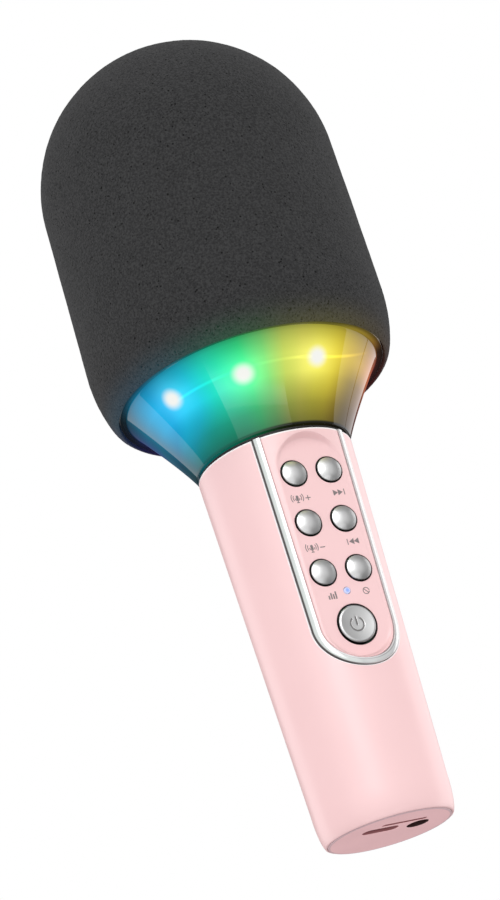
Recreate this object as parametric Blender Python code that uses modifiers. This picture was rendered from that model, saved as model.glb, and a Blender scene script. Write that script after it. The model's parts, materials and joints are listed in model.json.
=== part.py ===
"""Karaoke microphone: a tapered handle with a seven-button panel, a lit flared neck and a foam head.

The microphone stands on its flat end cap. +Z runs along its axis with the head up, the origin is the
middle of the end cap's face, and the button panel faces -Y. All lengths are in metres.
"""
import math

import bmesh
import bpy
from mathutils import Matrix, Vector

GAP = 0.0003  # clearance between pieces that touch

# Handle sleeve: a tapered tube whose foot curves in to the end cap.
HANDLE_TOP_Z = 0.1106
HANDLE_TOP_R = 0.02284
FOOT_CURVE_Z = 0.0100
FOOT_CURVE_R = 0.01924
FOOT_R = 0.01743
SLEEVE_WALL = 0.0018
SLEEVE_FOOT_Z = 0.00025
SLEEVE_BORE_R = 0.0176
SLEEVE_BORE_TOP_Z = 0.0060
SLEEVE_LIP = 0.0004

# Panel opening: an arc at the foot and two legs that spread upwards, in the panel's own tilted frame.
PANEL_TILT = math.radians(2.3)
PANEL_CENTRE_Z = 0.0534
PANEL_DISTANCE = 0.01805
PANEL_ARC_R = 0.0130
PANEL_LEG_SPREAD = math.radians(1.2)
PANEL_TOP = 0.0640
TRIM_WIDTH = 0.0016
TRIM_PROUD = 0.00035
TRIM_DEPTH = 0.0020
PANEL_THICK = 0.0029
RECESS_R = 0.0100
RECESS_LENGTH = 0.0458

# Buttons, along the panel from the middle of its foot arc.
BUTTON_TRAVEL = 0.0005
BUTTON_R = 0.00365
BUTTON_X = 0.0054
BUTTON_ROWS = (0.0450, 0.0301, 0.0153)
BUTTON_RISE = 0.0005
BUTTON_CROWN = 0.0010
POWER_R = 0.00540
POWER_Y = -0.0005
POWER_CROWN = 0.0009
INDICATOR_Y = 0.0093
INDICATOR_R = 0.0009
FLANGE_WIDTH = 0.0010
FLANGE_THICK = 0.0008
HOLE_CLEAR = 0.00035
STEM_R = 0.0012

# Boards and the parts soldered to them.
BUTTON_BOARD_FACE = -0.0080
BOARD_THICK = 0.0010
SWITCH_SIZE = 0.0052
SWITCH_TOP = -0.0062
PLUNGER_TOP = -0.00575
STEM_END = PLUNGER_TOP + BUTTON_TRAVEL + 0.00015
MAIN_BOARD_FRONT_Y = -0.0066
MAIN_BOARD_TOP_Z = 0.1020
MAIN_BOARD_FOOT_Z = 0.0026

# Ports in the end cap.
END_CAP_R = 0.01715
END_CAP_THICK = 0.0020
CAP_RING_R = 0.0169
CAP_RING_TOP_Z = 0.0070
USB_X = -0.0045
USB_Y = -0.0036
USB_PORT = (0.0106, 0.0040)
USB_SHELL = (0.0090, 0.0033, 0.0074)
CARD_X = 0.0010
CARD_Y = -0.0078
CARD_SLOT = (0.0134, 0.0014)
CARD_SHELL = (0.0146, 0.0018, 0.0150)
JACK_X = 0.0070
JACK_Y = -0.0031
JACK_PORT_R = 0.0031
JACK_BODY = (0.0068, 0.0044, 0.0120)

# Chassis trough and battery behind the main board.
CHASSIS_CUT_Y = -0.0053
CHASSIS_WALL = 0.0014
CHASSIS_CLEAR = 0.0004
CHASSIS_FOOT_Z = 0.0090
CHASSIS_TOP_Z = 0.1049
CHASSIS_PLATE = 0.0016
CHASSIS_HOLE_R = 0.0090
BATTERY_R = 0.0091
BATTERY_Y = 0.0066
BATTERY_FOOT_Z = 0.0335
BATTERY_LENGTH = 0.0650

# Flared diffuser and the reflector frame inside it.
GASKET_THICK = 0.0007
GASKET_R = 0.0222
FLARE_FOOT_Z = 0.1119
FLARE_FOOT_R = 0.02295
FLARE_TOP_Z = 0.1350
FLARE_TOP_R = 0.0376
FLARE_POWER = 1.12
FLARE_WALL = 0.0022
RIM_R = 0.0397
RIM_TOP_Z = 0.1384
FRAME_FLANGE_Z = 0.1404
FRAME_WALL = 0.0014
COLLAR_R = 0.0162
COLLAR_FOOT_Z = 0.1052
FRAME_SCREW_X = 0.0125
FRAME_SCREW_Y = 0.0020
SCREW_SHANK_R = 0.0009
SCREW_HOLE_R = 0.00125

# Light ring.
LED_COUNT = 9
LED_PHASE = math.radians(-28.7)
LED_CIRCLE_R = 0.0272
LED_SIZE = 0.0050
LED_THICK = 0.0016
LIGHT_BOARD_Z = 0.1293
LIGHT_BOARD_R = (0.0252, 0.0310)

# Speaker on its plate.
PLATE_Z = 0.1407
PLATE_THICK = 0.0020
PLATE_R = 0.0394
PLATE_HOLE_R = 0.0244
SPEAKER_Z = 0.1430
SPEAKER_FLANGE_R = 0.0280
SPEAKER_SCREW_CIRCLE_R = 0.0258
MAGNET_R = 0.0155

# Foam windscreen, the cage under it and the microphone capsule.
CAGE_FOOT_Z = 0.1430
CAGE_R = 0.0396
CAGE_WALL = 0.0016
HEAD_CENTRE_Z = 0.2045
CAGE_SLOTS = 14
FOAM_BORE_R = 0.0402
FOAM_R = 0.0453
FOAM_FOOT_Z = 0.1344
FOAM_FOOT_R = 0.0404
FOAM_CURVE_Z = 0.1523
FOAM_CURVE_POWER = 1.15
FOAM_TOP_Z = 0.2500
BRIDGE_FOOT_R = (0.0320, 0.0356)
BRIDGE_CUP_R = (0.0103, 0.0120)
BRIDGE_CUP_Z = (0.2050, 0.2170)
CAPSULE_R = 0.0079

ROUND_STEPS = 48
FINE_STEPS = 16


def remove_everything():
    for obj in list(bpy.data.objects):
        bpy.data.objects.remove(obj, do_unlink=True)


def new_collection(name):
    collection = bpy.data.collections.new(name)
    bpy.context.scene.collection.children.link(collection)
    return collection


def new_material(name, colour, roughness, metallic=0.0):
    material = bpy.data.materials.new(name)
    material.use_nodes = True
    surface = material.node_tree.nodes["Principled BSDF"]
    surface.inputs["Base Color"].default_value = (*colour, 1.0)
    surface.inputs["Roughness"].default_value = roughness
    surface.inputs["Metallic"].default_value = metallic
    return material


remove_everything()
PARTS = new_collection("karaoke_microphone")
CUTTERS = new_collection("cutters")

FINISHES = {
    "pink": ((0.93, 0.70, 0.71), 0.45, 0.0),
    "pink_cap": ((0.70, 0.46, 0.47), 0.55, 0.0),
    "silver": ((0.72, 0.72, 0.74), 0.25, 1.0),
    "foam": ((0.045, 0.045, 0.047), 1.0, 0.0),
    "smoky_shell": ((0.05, 0.45, 0.40), 0.1, 0.0),
    "rubber": ((0.02, 0.02, 0.02), 0.7, 0.0),
    "black_plastic": ((0.03, 0.03, 0.03), 0.5, 0.0),
    "white_plastic": ((0.8, 0.8, 0.8), 0.5, 0.0),
    "board": ((0.02, 0.16, 0.07), 0.5, 0.0),
    "steel": ((0.55, 0.55, 0.57), 0.35, 1.0),
    "led": ((0.9, 0.9, 0.8), 0.4, 0.0),
    "indicator": ((0.35, 0.6, 1.0), 0.3, 0.0),
    "paper_cone": ((0.06, 0.06, 0.06), 0.9, 0.0),
    "battery": ((0.05, 0.18, 0.45), 0.4, 0.0),
    "wire": ((0.5, 0.03, 0.03), 0.5, 0.0),
}


def place(obj, finish=None, parent=None):
    """Links a part to its collection with a material of its own, or a cutter if it has no finish."""
    if finish is None:
        CUTTERS.objects.link(obj)
        obj.hide_render = True
        obj.display_type = "WIRE"
    else:
        PARTS.objects.link(obj)
        obj.data.materials.append(new_material(obj.name, *FINISHES[finish]))
    obj.parent = parent
    return obj


def turned(name, profile, finish=None, parent=None, steps=ROUND_STEPS):
    """A profile of (radius, z) points turned about Z; it is a ring unless both its ends are on the axis."""
    mesh = bpy.data.meshes.new(name)
    shape = bmesh.new()
    points = [shape.verts.new((radius, 0.0, z)) for radius, z in profile]
    for start, end in zip(points, points[1:]):
        shape.edges.new((start, end))
    if profile[0][0] > 0.0:
        shape.edges.new((points[-1], points[0]))
    shape.to_mesh(mesh)
    shape.free()
    obj = place(bpy.data.objects.new(name, mesh), finish, parent)
    screw = obj.modifiers.new("turn", "SCREW")
    screw.steps = steps
    screw.render_steps = steps
    screw.use_merge_vertices = True
    screw.merge_threshold = 0.00001
    screw.use_smooth_shade = False
    return obj


def block(name, size, centre, finish=None, parent=None):
    mesh = bpy.data.meshes.new(name)
    shape = bmesh.new()
    bmesh.ops.create_cube(shape, size=1.0, matrix=Matrix.Translation(centre) @ Matrix.Diagonal((*size, 1.0)))
    shape.to_mesh(mesh)
    shape.free()
    return place(bpy.data.objects.new(name, mesh), finish, parent)


def slab(name, outlines, bottom, top, finish=None, parent=None):
    """Flat outlines, the first one solid and the rest holes in it, made thick from bottom to top in Z."""
    curve = bpy.data.curves.new(name, "CURVE")
    curve.dimensions = "2D"
    curve.fill_mode = "BOTH"
    curve.extrude = (top - bottom) / 2
    for outline in outlines:
        spline = curve.splines.new("POLY")
        spline.points.add(len(outline) - 1)
        for point, (x, y) in zip(spline.points, outline):
            point.co = (x, y, 0.0, 1.0)
        spline.use_cyclic_u = True
    sketch = bpy.data.objects.new(name + "_sketch", curve)
    CUTTERS.objects.link(sketch)
    depsgraph = bpy.context.evaluated_depsgraph_get()
    mesh = bpy.data.meshes.new_from_object(sketch.evaluated_get(depsgraph))
    bpy.data.objects.remove(sketch)
    shape = bmesh.new()
    shape.from_mesh(mesh)
    bmesh.ops.remove_doubles(shape, verts=shape.verts, dist=0.000001)
    bmesh.ops.recalc_face_normals(shape, faces=shape.faces)
    bmesh.ops.translate(shape, verts=shape.verts, vec=(0.0, 0.0, (bottom + top) / 2))
    shape.to_mesh(mesh)
    shape.free()
    mesh.name = name
    mesh.materials.clear()
    return place(bpy.data.objects.new(name, mesh), finish, parent)


def drills(name, centres, radius, bottom, top, parent=None, steps=FINE_STEPS):
    """A cutter of upright pegs at the given (x, y) centres."""
    mesh = bpy.data.meshes.new(name)
    shape = bmesh.new()
    for x, y in centres:
        spot = Matrix.Translation((x, y, (bottom + top) / 2))
        bmesh.ops.create_cone(
            shape, cap_ends=True, segments=steps, radius1=radius, radius2=radius, depth=top - bottom, matrix=spot
        )
    shape.to_mesh(mesh)
    shape.free()
    return place(bpy.data.objects.new(name, mesh), None, parent)


def combine(target, tool, operation="DIFFERENCE"):
    modifier = target.modifiers.new(tool.name, "BOOLEAN")
    modifier.operation = operation
    modifier.object = tool
    modifier.solver = "EXACT"
    return target


def arc(centre_x, centre_y, radius, start, end, count):
    angles = [start + (end - start) * i / count for i in range(count + 1)]
    return [(centre_x + radius * math.cos(a), centre_y + radius * math.sin(a)) for a in angles]


def capsule_outline(radius, length, count=16):
    """A slot that stands on the origin and is length long between the centres of its two arcs."""
    return arc(0.0, length, radius, 0.0, math.pi, count) + arc(0.0, 0.0, radius, math.pi, 2 * math.pi, count)


def wide_slot(centre_x, centre_y, width, height, count=6):
    half = (width - height) / 2
    radius = height / 2
    right = arc(centre_x + half, centre_y, radius, -math.pi / 2, math.pi / 2, count)
    left = arc(centre_x - half, centre_y, radius, math.pi / 2, 3 * math.pi / 2, count)
    return right + left


def handle_radius(z):
    """Outer radius of the handle: a straight taper above a foot that curves in as a quarter ellipse."""
    if z >= FOOT_CURVE_Z:
        share = (z - FOOT_CURVE_Z) / (HANDLE_TOP_Z - FOOT_CURVE_Z)
        return FOOT_CURVE_R + (HANDLE_TOP_R - FOOT_CURVE_R) * share
    drop = 1.0 - z / FOOT_CURVE_Z
    return FOOT_R + (FOOT_CURVE_R - FOOT_R) * math.sqrt(1.0 - drop * drop)


def panel_opening(inset):
    """Outline of the panel's opening, drawn in by inset, from its right leg's top round to its left leg's."""
    radius = PANEL_ARC_R - inset
    foot = arc(0.0, 0.0, radius, -PANEL_LEG_SPREAD, PANEL_LEG_SPREAD - math.pi, 20)
    start_x, start_y = foot[0]
    top_x = start_x + (PANEL_TOP - start_y) * math.tan(PANEL_LEG_SPREAD)
    return [(top_x, PANEL_TOP)] + foot + [(-top_x, PANEL_TOP)]


def flare_radius(z):
    """Outer radius of the trumpet-shaped diffuser."""
    share = (z - FLARE_FOOT_Z) / (FLARE_TOP_Z - FLARE_FOOT_Z)
    return FLARE_FOOT_R + (FLARE_TOP_R - FLARE_FOOT_R) * share ** FLARE_POWER


def build_handle(panel_frame):
    taper = [(handle_radius(z), z) for z in (HANDLE_TOP_Z - SLEEVE_LIP, FOOT_CURVE_Z)]
    foot_heights = [FOOT_CURVE_Z * (1.0 - math.sin(math.radians(a))) for a in (18, 36, 54, 68)]
    foot = [(handle_radius(z), z) for z in foot_heights + [SLEEVE_FOOT_Z]]
    bore_top = (HANDLE_TOP_R - SLEEVE_WALL, HANDLE_TOP_Z)
    lip = [bore_top, (HANDLE_TOP_R - SLEEVE_LIP, HANDLE_TOP_Z)]
    bore_foot = [(SLEEVE_BORE_R, SLEEVE_FOOT_Z), (SLEEVE_BORE_R, SLEEVE_BORE_TOP_Z)]
    sleeve = turned("handle_sleeve", lip + taper + foot + bore_foot, "pink")
    notch = slab("panel_notch", [panel_opening(0.0)], -0.0090, 0.0080, None, panel_frame)
    combine(sleeve, notch)

    band = panel_opening(GAP) + panel_opening(GAP + TRIM_WIDTH)[::-1]
    trim = slab("panel_trim", [band], -0.0090, 0.0080, "silver", panel_frame)
    top_r = HANDLE_TOP_R + TRIM_PROUD
    foot_r = handle_radius(FOOT_CURVE_Z) + TRIM_PROUD
    wall = TRIM_DEPTH + TRIM_PROUD
    hoop = [(top_r - wall, HANDLE_TOP_Z), (top_r, HANDLE_TOP_Z), (foot_r, FOOT_CURVE_Z), (foot_r - wall, FOOT_CURVE_Z)]
    combine(trim, turned("trim_hoop", hoop, steps=72), "INTERSECT")

    panel = slab("control_panel", [panel_opening(2 * GAP + TRIM_WIDTH)], -PANEL_THICK, 0.0080, "pink", panel_frame)
    solid = [(0.0, HANDLE_TOP_Z), (HANDLE_TOP_R, HANDLE_TOP_Z), (FOOT_CURVE_R, FOOT_CURVE_Z), (0.0, FOOT_CURVE_Z)]
    combine(panel, turned("panel_cone", solid, steps=72), "INTERSECT")
    recess = slab("panel_recess", [capsule_outline(RECESS_R, RECESS_LENGTH)], 0.0, 0.0090, None, panel_frame)
    combine(panel, recess)
    small = [(side * BUTTON_X, y) for y in BUTTON_ROWS for side in (-1, 1)]
    through = (-PANEL_THICK - 0.0010, 0.0060)
    combine(panel, drills("button_holes", small, BUTTON_R + HOLE_CLEAR, *through, panel_frame))
    combine(panel, drills("power_hole", [(0.0, POWER_Y)], POWER_R + HOLE_CLEAR, *through, panel_frame, 24))
    combine(panel, drills("indicator_hole", [(0.0, INDICATOR_Y)], INDICATOR_R + GAP, *through, panel_frame, 10))


def build_button(name, x, y, radius, crown, panel_frame):
    """A domed cap on a retaining flange, with a stem that reaches back to its switch."""
    seat = bpy.data.objects.new(name + "_axis", None)
    PARTS.objects.link(seat)
    seat.parent = panel_frame
    seat.location = (x, y, 0.0)
    dome = []
    for i in range(4):
        reach = (radius - 0.0003) * i / 3
        dome.append((reach, BUTTON_RISE + crown * (1.0 - (i / 3) ** 2)))
    flange_top = -PANEL_THICK - GAP
    flange_foot = flange_top - FLANGE_THICK
    body = [
        (radius, BUTTON_RISE - 0.0003),
        (radius, flange_top),
        (radius + FLANGE_WIDTH, flange_top),
        (radius + FLANGE_WIDTH, flange_foot),
        (STEM_R, flange_foot),
        (STEM_R, STEM_END),
        (0.0, STEM_END),
    ]
    turned(name, dome + body, "silver", seat, FINE_STEPS)


def build_switch(name, x, y, panel_frame):
    face = BUTTON_BOARD_FACE + GAP
    size = (SWITCH_SIZE, SWITCH_SIZE, SWITCH_TOP - face)
    switch = block(name, size, (x, y, (SWITCH_TOP + face) / 2), "black_plastic", panel_frame)
    plunger = drills(name + "_plunger", [(x, y)], STEM_R, SWITCH_TOP - 0.0004, PLUNGER_TOP, panel_frame, 12)
    combine(switch, plunger, "UNION")


def build_controls(panel_frame):
    names = (("mic_up", "next_track"), ("mic_down", "previous_track"), ("mode", "mute"))
    for row, pair in zip(BUTTON_ROWS, names):
        for side, label in zip((-1, 1), pair):
            build_button(f"button_{label}", side * BUTTON_X, row, BUTTON_R, BUTTON_CROWN, panel_frame)
            build_switch(f"switch_{label}", side * BUTTON_X, row, panel_frame)
    build_button("button_power", 0.0, POWER_Y, POWER_R, POWER_CROWN, panel_frame)
    build_switch("switch_power", 0.0, POWER_Y, panel_frame)
    light_pipe = [(0.0, 0.0001), (INDICATOR_R, 0.0001), (INDICATOR_R, BUTTON_BOARD_FACE + GAP)]
    lens = turned("indicator_lens", light_pipe + [(0.0, BUTTON_BOARD_FACE + GAP)], "indicator", panel_frame, 12)
    lens.location = (0.0, INDICATOR_Y, 0.0)
    half = 0.0106
    corners = [(-half, -0.0080), (half, -0.0080), (half, 0.0508), (-half, 0.0508)]
    back = BUTTON_BOARD_FACE - BOARD_THICK
    slab("button_board", [corners], back, BUTTON_BOARD_FACE, "board", panel_frame)


def build_electronics():
    back_y = MAIN_BOARD_FRONT_Y + BOARD_THICK
    shoulder_z = 0.0082
    narrow = 0.0130
    wide = 0.0150
    outline = [
        (-narrow, MAIN_BOARD_FOOT_Z),
        (narrow, MAIN_BOARD_FOOT_Z),
        (narrow, shoulder_z),
        (wide, shoulder_z + 0.0015),
        (wide, MAIN_BOARD_TOP_Z),
        (-wide, MAIN_BOARD_TOP_Z),
        (-wide, shoulder_z + 0.0015),
        (-narrow, shoulder_z),
    ]
    board = slab("main_board", [outline], 0.0, BOARD_THICK, "board")
    board.rotation_euler = (math.pi / 2, 0.0, 0.0)
    board.location = (0.0, back_y, 0.0)
    front = MAIN_BOARD_FRONT_Y - GAP
    block("board_link", (0.0120, 0.0024, 0.0030), (0.0, front - 0.0012, 0.0770), "black_plastic")
    block("audio_chip", (0.0080, 0.0012, 0.0080), (0.0, front - 0.0006, 0.0380), "black_plastic")

    socket_z = END_CAP_THICK + GAP
    width, height, depth = USB_SHELL
    usb = slab("usb_socket", [wide_slot(USB_X, USB_Y, width, height)], socket_z, socket_z + depth, "steel")
    mouth = slab("usb_mouth", [wide_slot(USB_X, USB_Y, width - 0.0008, height - 0.0008)], 0.0010, socket_z + 0.0060)
    combine(usb, mouth)
    tongue = block("usb_tongue", (0.0066, 0.0007, 0.0066), (USB_X, USB_Y, socket_z + 0.0038))
    combine(usb, tongue, "UNION")

    width, height, depth = CARD_SHELL
    card = block("card_socket", (width, height, depth), (CARD_X, CARD_Y, socket_z + depth / 2), "steel")
    pocket = block("card_pocket", (0.0116, 0.0010, depth), (CARD_X, CARD_Y, socket_z + depth / 2 - 0.0015))
    combine(card, pocket)

    width, height, depth = JACK_BODY
    jack = block("aux_jack", (width, height, depth), (JACK_X, JACK_Y, socket_z + depth / 2), "black_plastic")
    combine(jack, drills("jack_bore", [(JACK_X, JACK_Y)], 0.0018, 0.0010, socket_z + depth - 0.0010))


def build_end_cap():
    face_r = END_CAP_R - 0.0002
    profile = [
        (0.0, END_CAP_THICK),
        (CAP_RING_R - 0.0014, END_CAP_THICK),
        (CAP_RING_R - 0.0014, CAP_RING_TOP_Z),
        (CAP_RING_R, CAP_RING_TOP_Z),
        (CAP_RING_R, END_CAP_THICK),
        (END_CAP_R, END_CAP_THICK - 0.0001),
        (END_CAP_R, 0.0002),
        (face_r, 0.0),
        (0.0, 0.0),
    ]
    cap = turned("end_cap", profile, "pink_cap")
    span = (-0.0010, END_CAP_THICK + 0.0010)
    combine(cap, slab("usb_port", [wide_slot(USB_X, USB_Y, *USB_PORT, 8)], *span))
    combine(cap, slab("card_port", [wide_slot(CARD_X, CARD_Y, *CARD_SLOT, 4)], *span))
    combine(cap, drills("jack_port", [(JACK_X, JACK_Y)], JACK_PORT_R, *span))


def build_chassis():
    outer_foot = handle_radius(FOOT_CURVE_Z) - SLEEVE_WALL - CHASSIS_CLEAR
    outer_top = handle_radius(CHASSIS_TOP_Z) - SLEEVE_WALL - CHASSIS_CLEAR
    profile = [
        (CHASSIS_HOLE_R, CHASSIS_TOP_Z),
        (outer_top, CHASSIS_TOP_Z),
        (outer_foot, CHASSIS_FOOT_Z),
        (outer_foot - CHASSIS_WALL, CHASSIS_FOOT_Z),
        (outer_top - CHASSIS_WALL, CHASSIS_TOP_Z - CHASSIS_PLATE),
        (CHASSIS_HOLE_R, CHASSIS_TOP_Z - CHASSIS_PLATE),
    ]
    chassis = turned("chassis", profile, "white_plastic", steps=48)
    combine(chassis, block("chassis_front", (0.0500, 0.0300, 0.1200), (0.0, CHASSIS_CUT_Y - 0.0150, 0.0600)))
    screws = [(side * FRAME_SCREW_X, FRAME_SCREW_Y) for side in (-1, 1)]
    combine(chassis, drills("chassis_holes", screws, SCREW_HOLE_R, 0.1000, 0.1080, None, 12))

    foot = BATTERY_FOOT_Z
    top = BATTERY_FOOT_Z + BATTERY_LENGTH
    cell = [
        (0.0, top),
        (0.0030, top),
        (0.0030, top - 0.0008),
        (BATTERY_R - 0.0005, top - 0.0008),
        (BATTERY_R, top - 0.0014),
        (BATTERY_R, foot + 0.0005),
        (BATTERY_R - 0.0005, foot),
        (0.0, foot),
    ]
    battery = turned("battery", cell, "battery", steps=24)
    battery.location = (0.0, BATTERY_Y, 0.0)


def build_screw(name, x, y, head_foot_z, length):
    head = 0.0012
    profile = [
        (0.0, head),
        (0.0014, head),
        (0.0019, head * 0.6),
        (0.0019, 0.0),
        (SCREW_SHANK_R, 0.0),
        (SCREW_SHANK_R, -length),
        (0.0, -length),
    ]
    screw = turned(name, profile, "steel", steps=12)
    screw.location = (x, y, head_foot_z)


def build_neck():
    foot = HANDLE_TOP_Z + GAP
    ring = [
        (GASKET_R - 0.0016, foot + GASKET_THICK),
        (GASKET_R, foot + GASKET_THICK),
        (GASKET_R, foot),
        (GASKET_R - 0.0016, foot),
    ]
    turned("neck_gasket", ring, "rubber", steps=40)

    heights = [FLARE_TOP_Z - (FLARE_TOP_Z - FLARE_FOOT_Z) * i / 6 for i in range(7)]
    outer = [(flare_radius(z), z) for z in heights]
    inner = [(r - FLARE_WALL, z) for r, z in outer]
    rim_bore = RIM_R - FLARE_WALL
    rim = [(rim_bore, RIM_TOP_Z), (RIM_R, RIM_TOP_Z), (RIM_R, FLARE_TOP_Z)]
    turned("diffuser", rim + outer + inner[::-1] + [(rim_bore, FLARE_TOP_Z + FLARE_WALL)], "smoky_shell", steps=40)

    top = FRAME_FLANGE_Z
    under = RIM_TOP_Z + 0.0004
    skirt_r = FLARE_TOP_R - FLARE_WALL - 0.0005
    shelf = 0.1316
    wall = FRAME_WALL
    profile = [
        (skirt_r - 0.0034, top),
        (RIM_R - 0.0001, top),
        (RIM_R - 0.0001, under),
        (skirt_r, under),
        (skirt_r, shelf + 0.0034),
        (skirt_r - 0.0034, shelf),
        (0.0248, shelf),
        (0.0190, 0.1126),
        (COLLAR_R, 0.1110),
        (COLLAR_R, COLLAR_FOOT_Z),
        (0.0110, COLLAR_FOOT_Z),
        (0.0110, COLLAR_FOOT_Z + wall),
        (COLLAR_R - wall, COLLAR_FOOT_Z + wall),
        (COLLAR_R - wall, 0.1118),
        (0.0176, 0.1134),
        (0.0234, shelf + wall),
        (skirt_r - 0.0034, shelf + wall),
    ]
    frame = turned("neck_frame", profile, "white_plastic", steps=32)
    screws = [(side * FRAME_SCREW_X, FRAME_SCREW_Y) for side in (-1, 1)]
    combine(frame, drills("collar_holes", screws, SCREW_HOLE_R, 0.1020, 0.1080, None, 12))
    for label, (x, y) in zip("ab", screws):
        build_screw(f"chassis_screw_{label}", x, y, COLLAR_FOOT_Z + wall + GAP, 0.0042)


def build_light_ring():
    inner_r, outer_r = LIGHT_BOARD_R
    top = LIGHT_BOARD_Z + BOARD_THICK
    ring = [(inner_r, top), (outer_r, top), (outer_r, LIGHT_BOARD_Z), (inner_r, LIGHT_BOARD_Z)]
    turned("light_board", ring, "white_plastic", steps=32)
    for i in range(LED_COUNT):
        turn = LED_PHASE + 2 * math.pi * i / LED_COUNT
        mount = LIGHT_BOARD_Z - GAP - LED_THICK / 2
        size = (LED_SIZE, LED_SIZE, LED_THICK)
        led = block(f"led_{i + 1}", size, (0.0, 0.0, 0.0), "led")
        led.location = (LED_CIRCLE_R * math.sin(turn), -LED_CIRCLE_R * math.cos(turn), mount)
        led.rotation_euler = (0.0, 0.0, turn)


def build_speaker():
    screw_turns = [math.radians(30 + 120 * i) for i in range(3)]
    holes = [(SPEAKER_SCREW_CIRCLE_R * math.cos(a), SPEAKER_SCREW_CIRCLE_R * math.sin(a)) for a in screw_turns]
    plate_outline = arc(0.0, 0.0, PLATE_R, 0.0, 2 * math.pi, 40)[:-1]
    opening = arc(0.0, 0.0, PLATE_HOLE_R, 0.0, 2 * math.pi, 28)[:-1]
    wire_hole = arc(-0.0302, 0.0, 0.0014, 0.0, 2 * math.pi, 12)[:-1]
    screw_holes = [arc(x, y, SCREW_HOLE_R, 0.0, 2 * math.pi, 12)[:-1] for x, y in holes]
    outlines = [plate_outline, opening, wire_hole] + screw_holes
    slab("speaker_plate", outlines, PLATE_Z, PLATE_Z + PLATE_THICK, "black_plastic")

    seat = SPEAKER_Z
    basket = [
        (0.0226, seat + 0.0012),
        (SPEAKER_FLANGE_R, seat + 0.0012),
        (SPEAKER_FLANGE_R, seat),
        (0.0240, seat),
        (0.0174, 0.1323),
        (0.0084, 0.1323),
        (0.0084, 0.1333),
        (0.0168, 0.1333),
        (0.0226, 0.1425),
    ]
    frame = turned("speaker_frame", basket, "steel", steps=28)
    combine(frame, drills("speaker_holes", holes, SCREW_HOLE_R, seat - 0.0010, seat + 0.0020, None, 12))

    magnet = [
        (0.0, 0.1313),
        (0.0058, 0.1313),
        (0.0058, 0.1263),
        (0.0072, 0.1263),
        (0.0072, 0.1320),
        (MAGNET_R, 0.1320),
        (MAGNET_R, 0.1220),
        (0.0, 0.1220),
    ]
    turned("speaker_magnet", magnet, "steel", steps=24)

    cone = [
        (0.0, 0.1402),
        (0.0045, 0.1396),
        (0.0080, 0.1378),
        (0.0188, 0.1432),
        (0.0200, 0.1442),
        (0.0209, 0.1442),
        (0.0218, 0.1434),
        (0.0218, 0.1429),
        (0.0206, 0.1436),
        (0.0201, 0.1436),
        (0.0191, 0.1426),
        (0.0068, 0.1362),
        (0.0067, 0.1285),
        (0.0063, 0.1285),
        (0.0063, 0.1372),
        (0.0042, 0.1390),
        (0.0, 0.1396),
    ]
    turned("speaker_cone", cone, "paper_cone", steps=24)
    for label, (x, y) in zip("abc", holes):
        build_screw(f"speaker_screw_{label}", x, y, seat + 0.0012 + GAP, 0.0055)


def dome(radius, foot_z, height, count):
    """Points of a dome's outline from its top down to its widest ring."""
    angles = [math.pi / 2 * (1.0 - i / count) for i in range(count + 1)]
    return [(radius * math.cos(a), foot_z + height * math.sin(a)) for a in angles]


def build_head():
    inner_r = CAGE_R - CAGE_WALL
    outer = dome(CAGE_R, HEAD_CENTRE_Z, CAGE_R, 5)
    inner = dome(inner_r, HEAD_CENTRE_Z, inner_r, 5)
    outer[0] = (0.0, HEAD_CENTRE_Z + CAGE_R)
    inner[0] = (0.0, HEAD_CENTRE_Z + inner_r)
    foot = [(CAGE_R, CAGE_FOOT_Z), (inner_r, CAGE_FOOT_Z)]
    cage = turned("head_cage", outer + foot + inner[::-1], "black_plastic", steps=28)
    slots = bmesh.new()
    for i in range(CAGE_SLOTS):
        turn = Matrix.Rotation(2 * math.pi * (i + 0.5) / CAGE_SLOTS, 4, "Z")
        for low, high in ((0.1500, 0.1730), (0.1780, 0.2010)):
            size = Matrix.Diagonal((0.0100, 0.0100, high - low, 1.0))
            spot = Matrix.Translation((CAGE_R - 0.0010, 0.0, (low + high) / 2))
            bmesh.ops.create_cube(slots, size=1.0, matrix=turn @ spot @ size)
        lean = Matrix.Rotation(math.radians(-32), 4, "Y")
        spot = Matrix.Translation((CAGE_R - 0.0010, 0.0, 0.0))
        size = Matrix.Diagonal((0.0100, 0.0085, 0.0220, 1.0))
        shift = Matrix.Translation((0.0, 0.0, HEAD_CENTRE_Z))
        bmesh.ops.create_cube(slots, size=1.0, matrix=shift @ turn @ lean @ spot @ size)
    mesh = bpy.data.meshes.new("cage_slots")
    slots.to_mesh(mesh)
    slots.free()
    combine(cage, place(bpy.data.objects.new("cage_slots", mesh)))

    bore = dome(FOAM_BORE_R, HEAD_CENTRE_Z, FOAM_BORE_R, 6)
    shell = dome(FOAM_R, HEAD_CENTRE_Z, FOAM_TOP_Z - HEAD_CENTRE_Z, 8)
    bore[0] = (0.0, HEAD_CENTRE_Z + FOAM_BORE_R)
    shell[0] = (0.0, FOAM_TOP_Z)
    reach = FOAM_R - FOAM_FOOT_R
    drop = FOAM_CURVE_Z - FOAM_FOOT_Z
    skirt = [(FOAM_R, FOAM_CURVE_Z)]
    for angle in (26, 50, 70):
        across = math.cos(math.radians(angle)) ** FOAM_CURVE_POWER
        down = math.sin(math.radians(angle)) ** FOAM_CURVE_POWER
        skirt.append((FOAM_FOOT_R + reach * across, FOAM_CURVE_Z - drop * down))
    skirt.append((FOAM_FOOT_R, FOAM_FOOT_Z))
    turned("foam_windscreen", shell + skirt + [(FOAM_BORE_R, FOAM_FOOT_Z)] + bore[::-1], "foam", steps=40)


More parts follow.
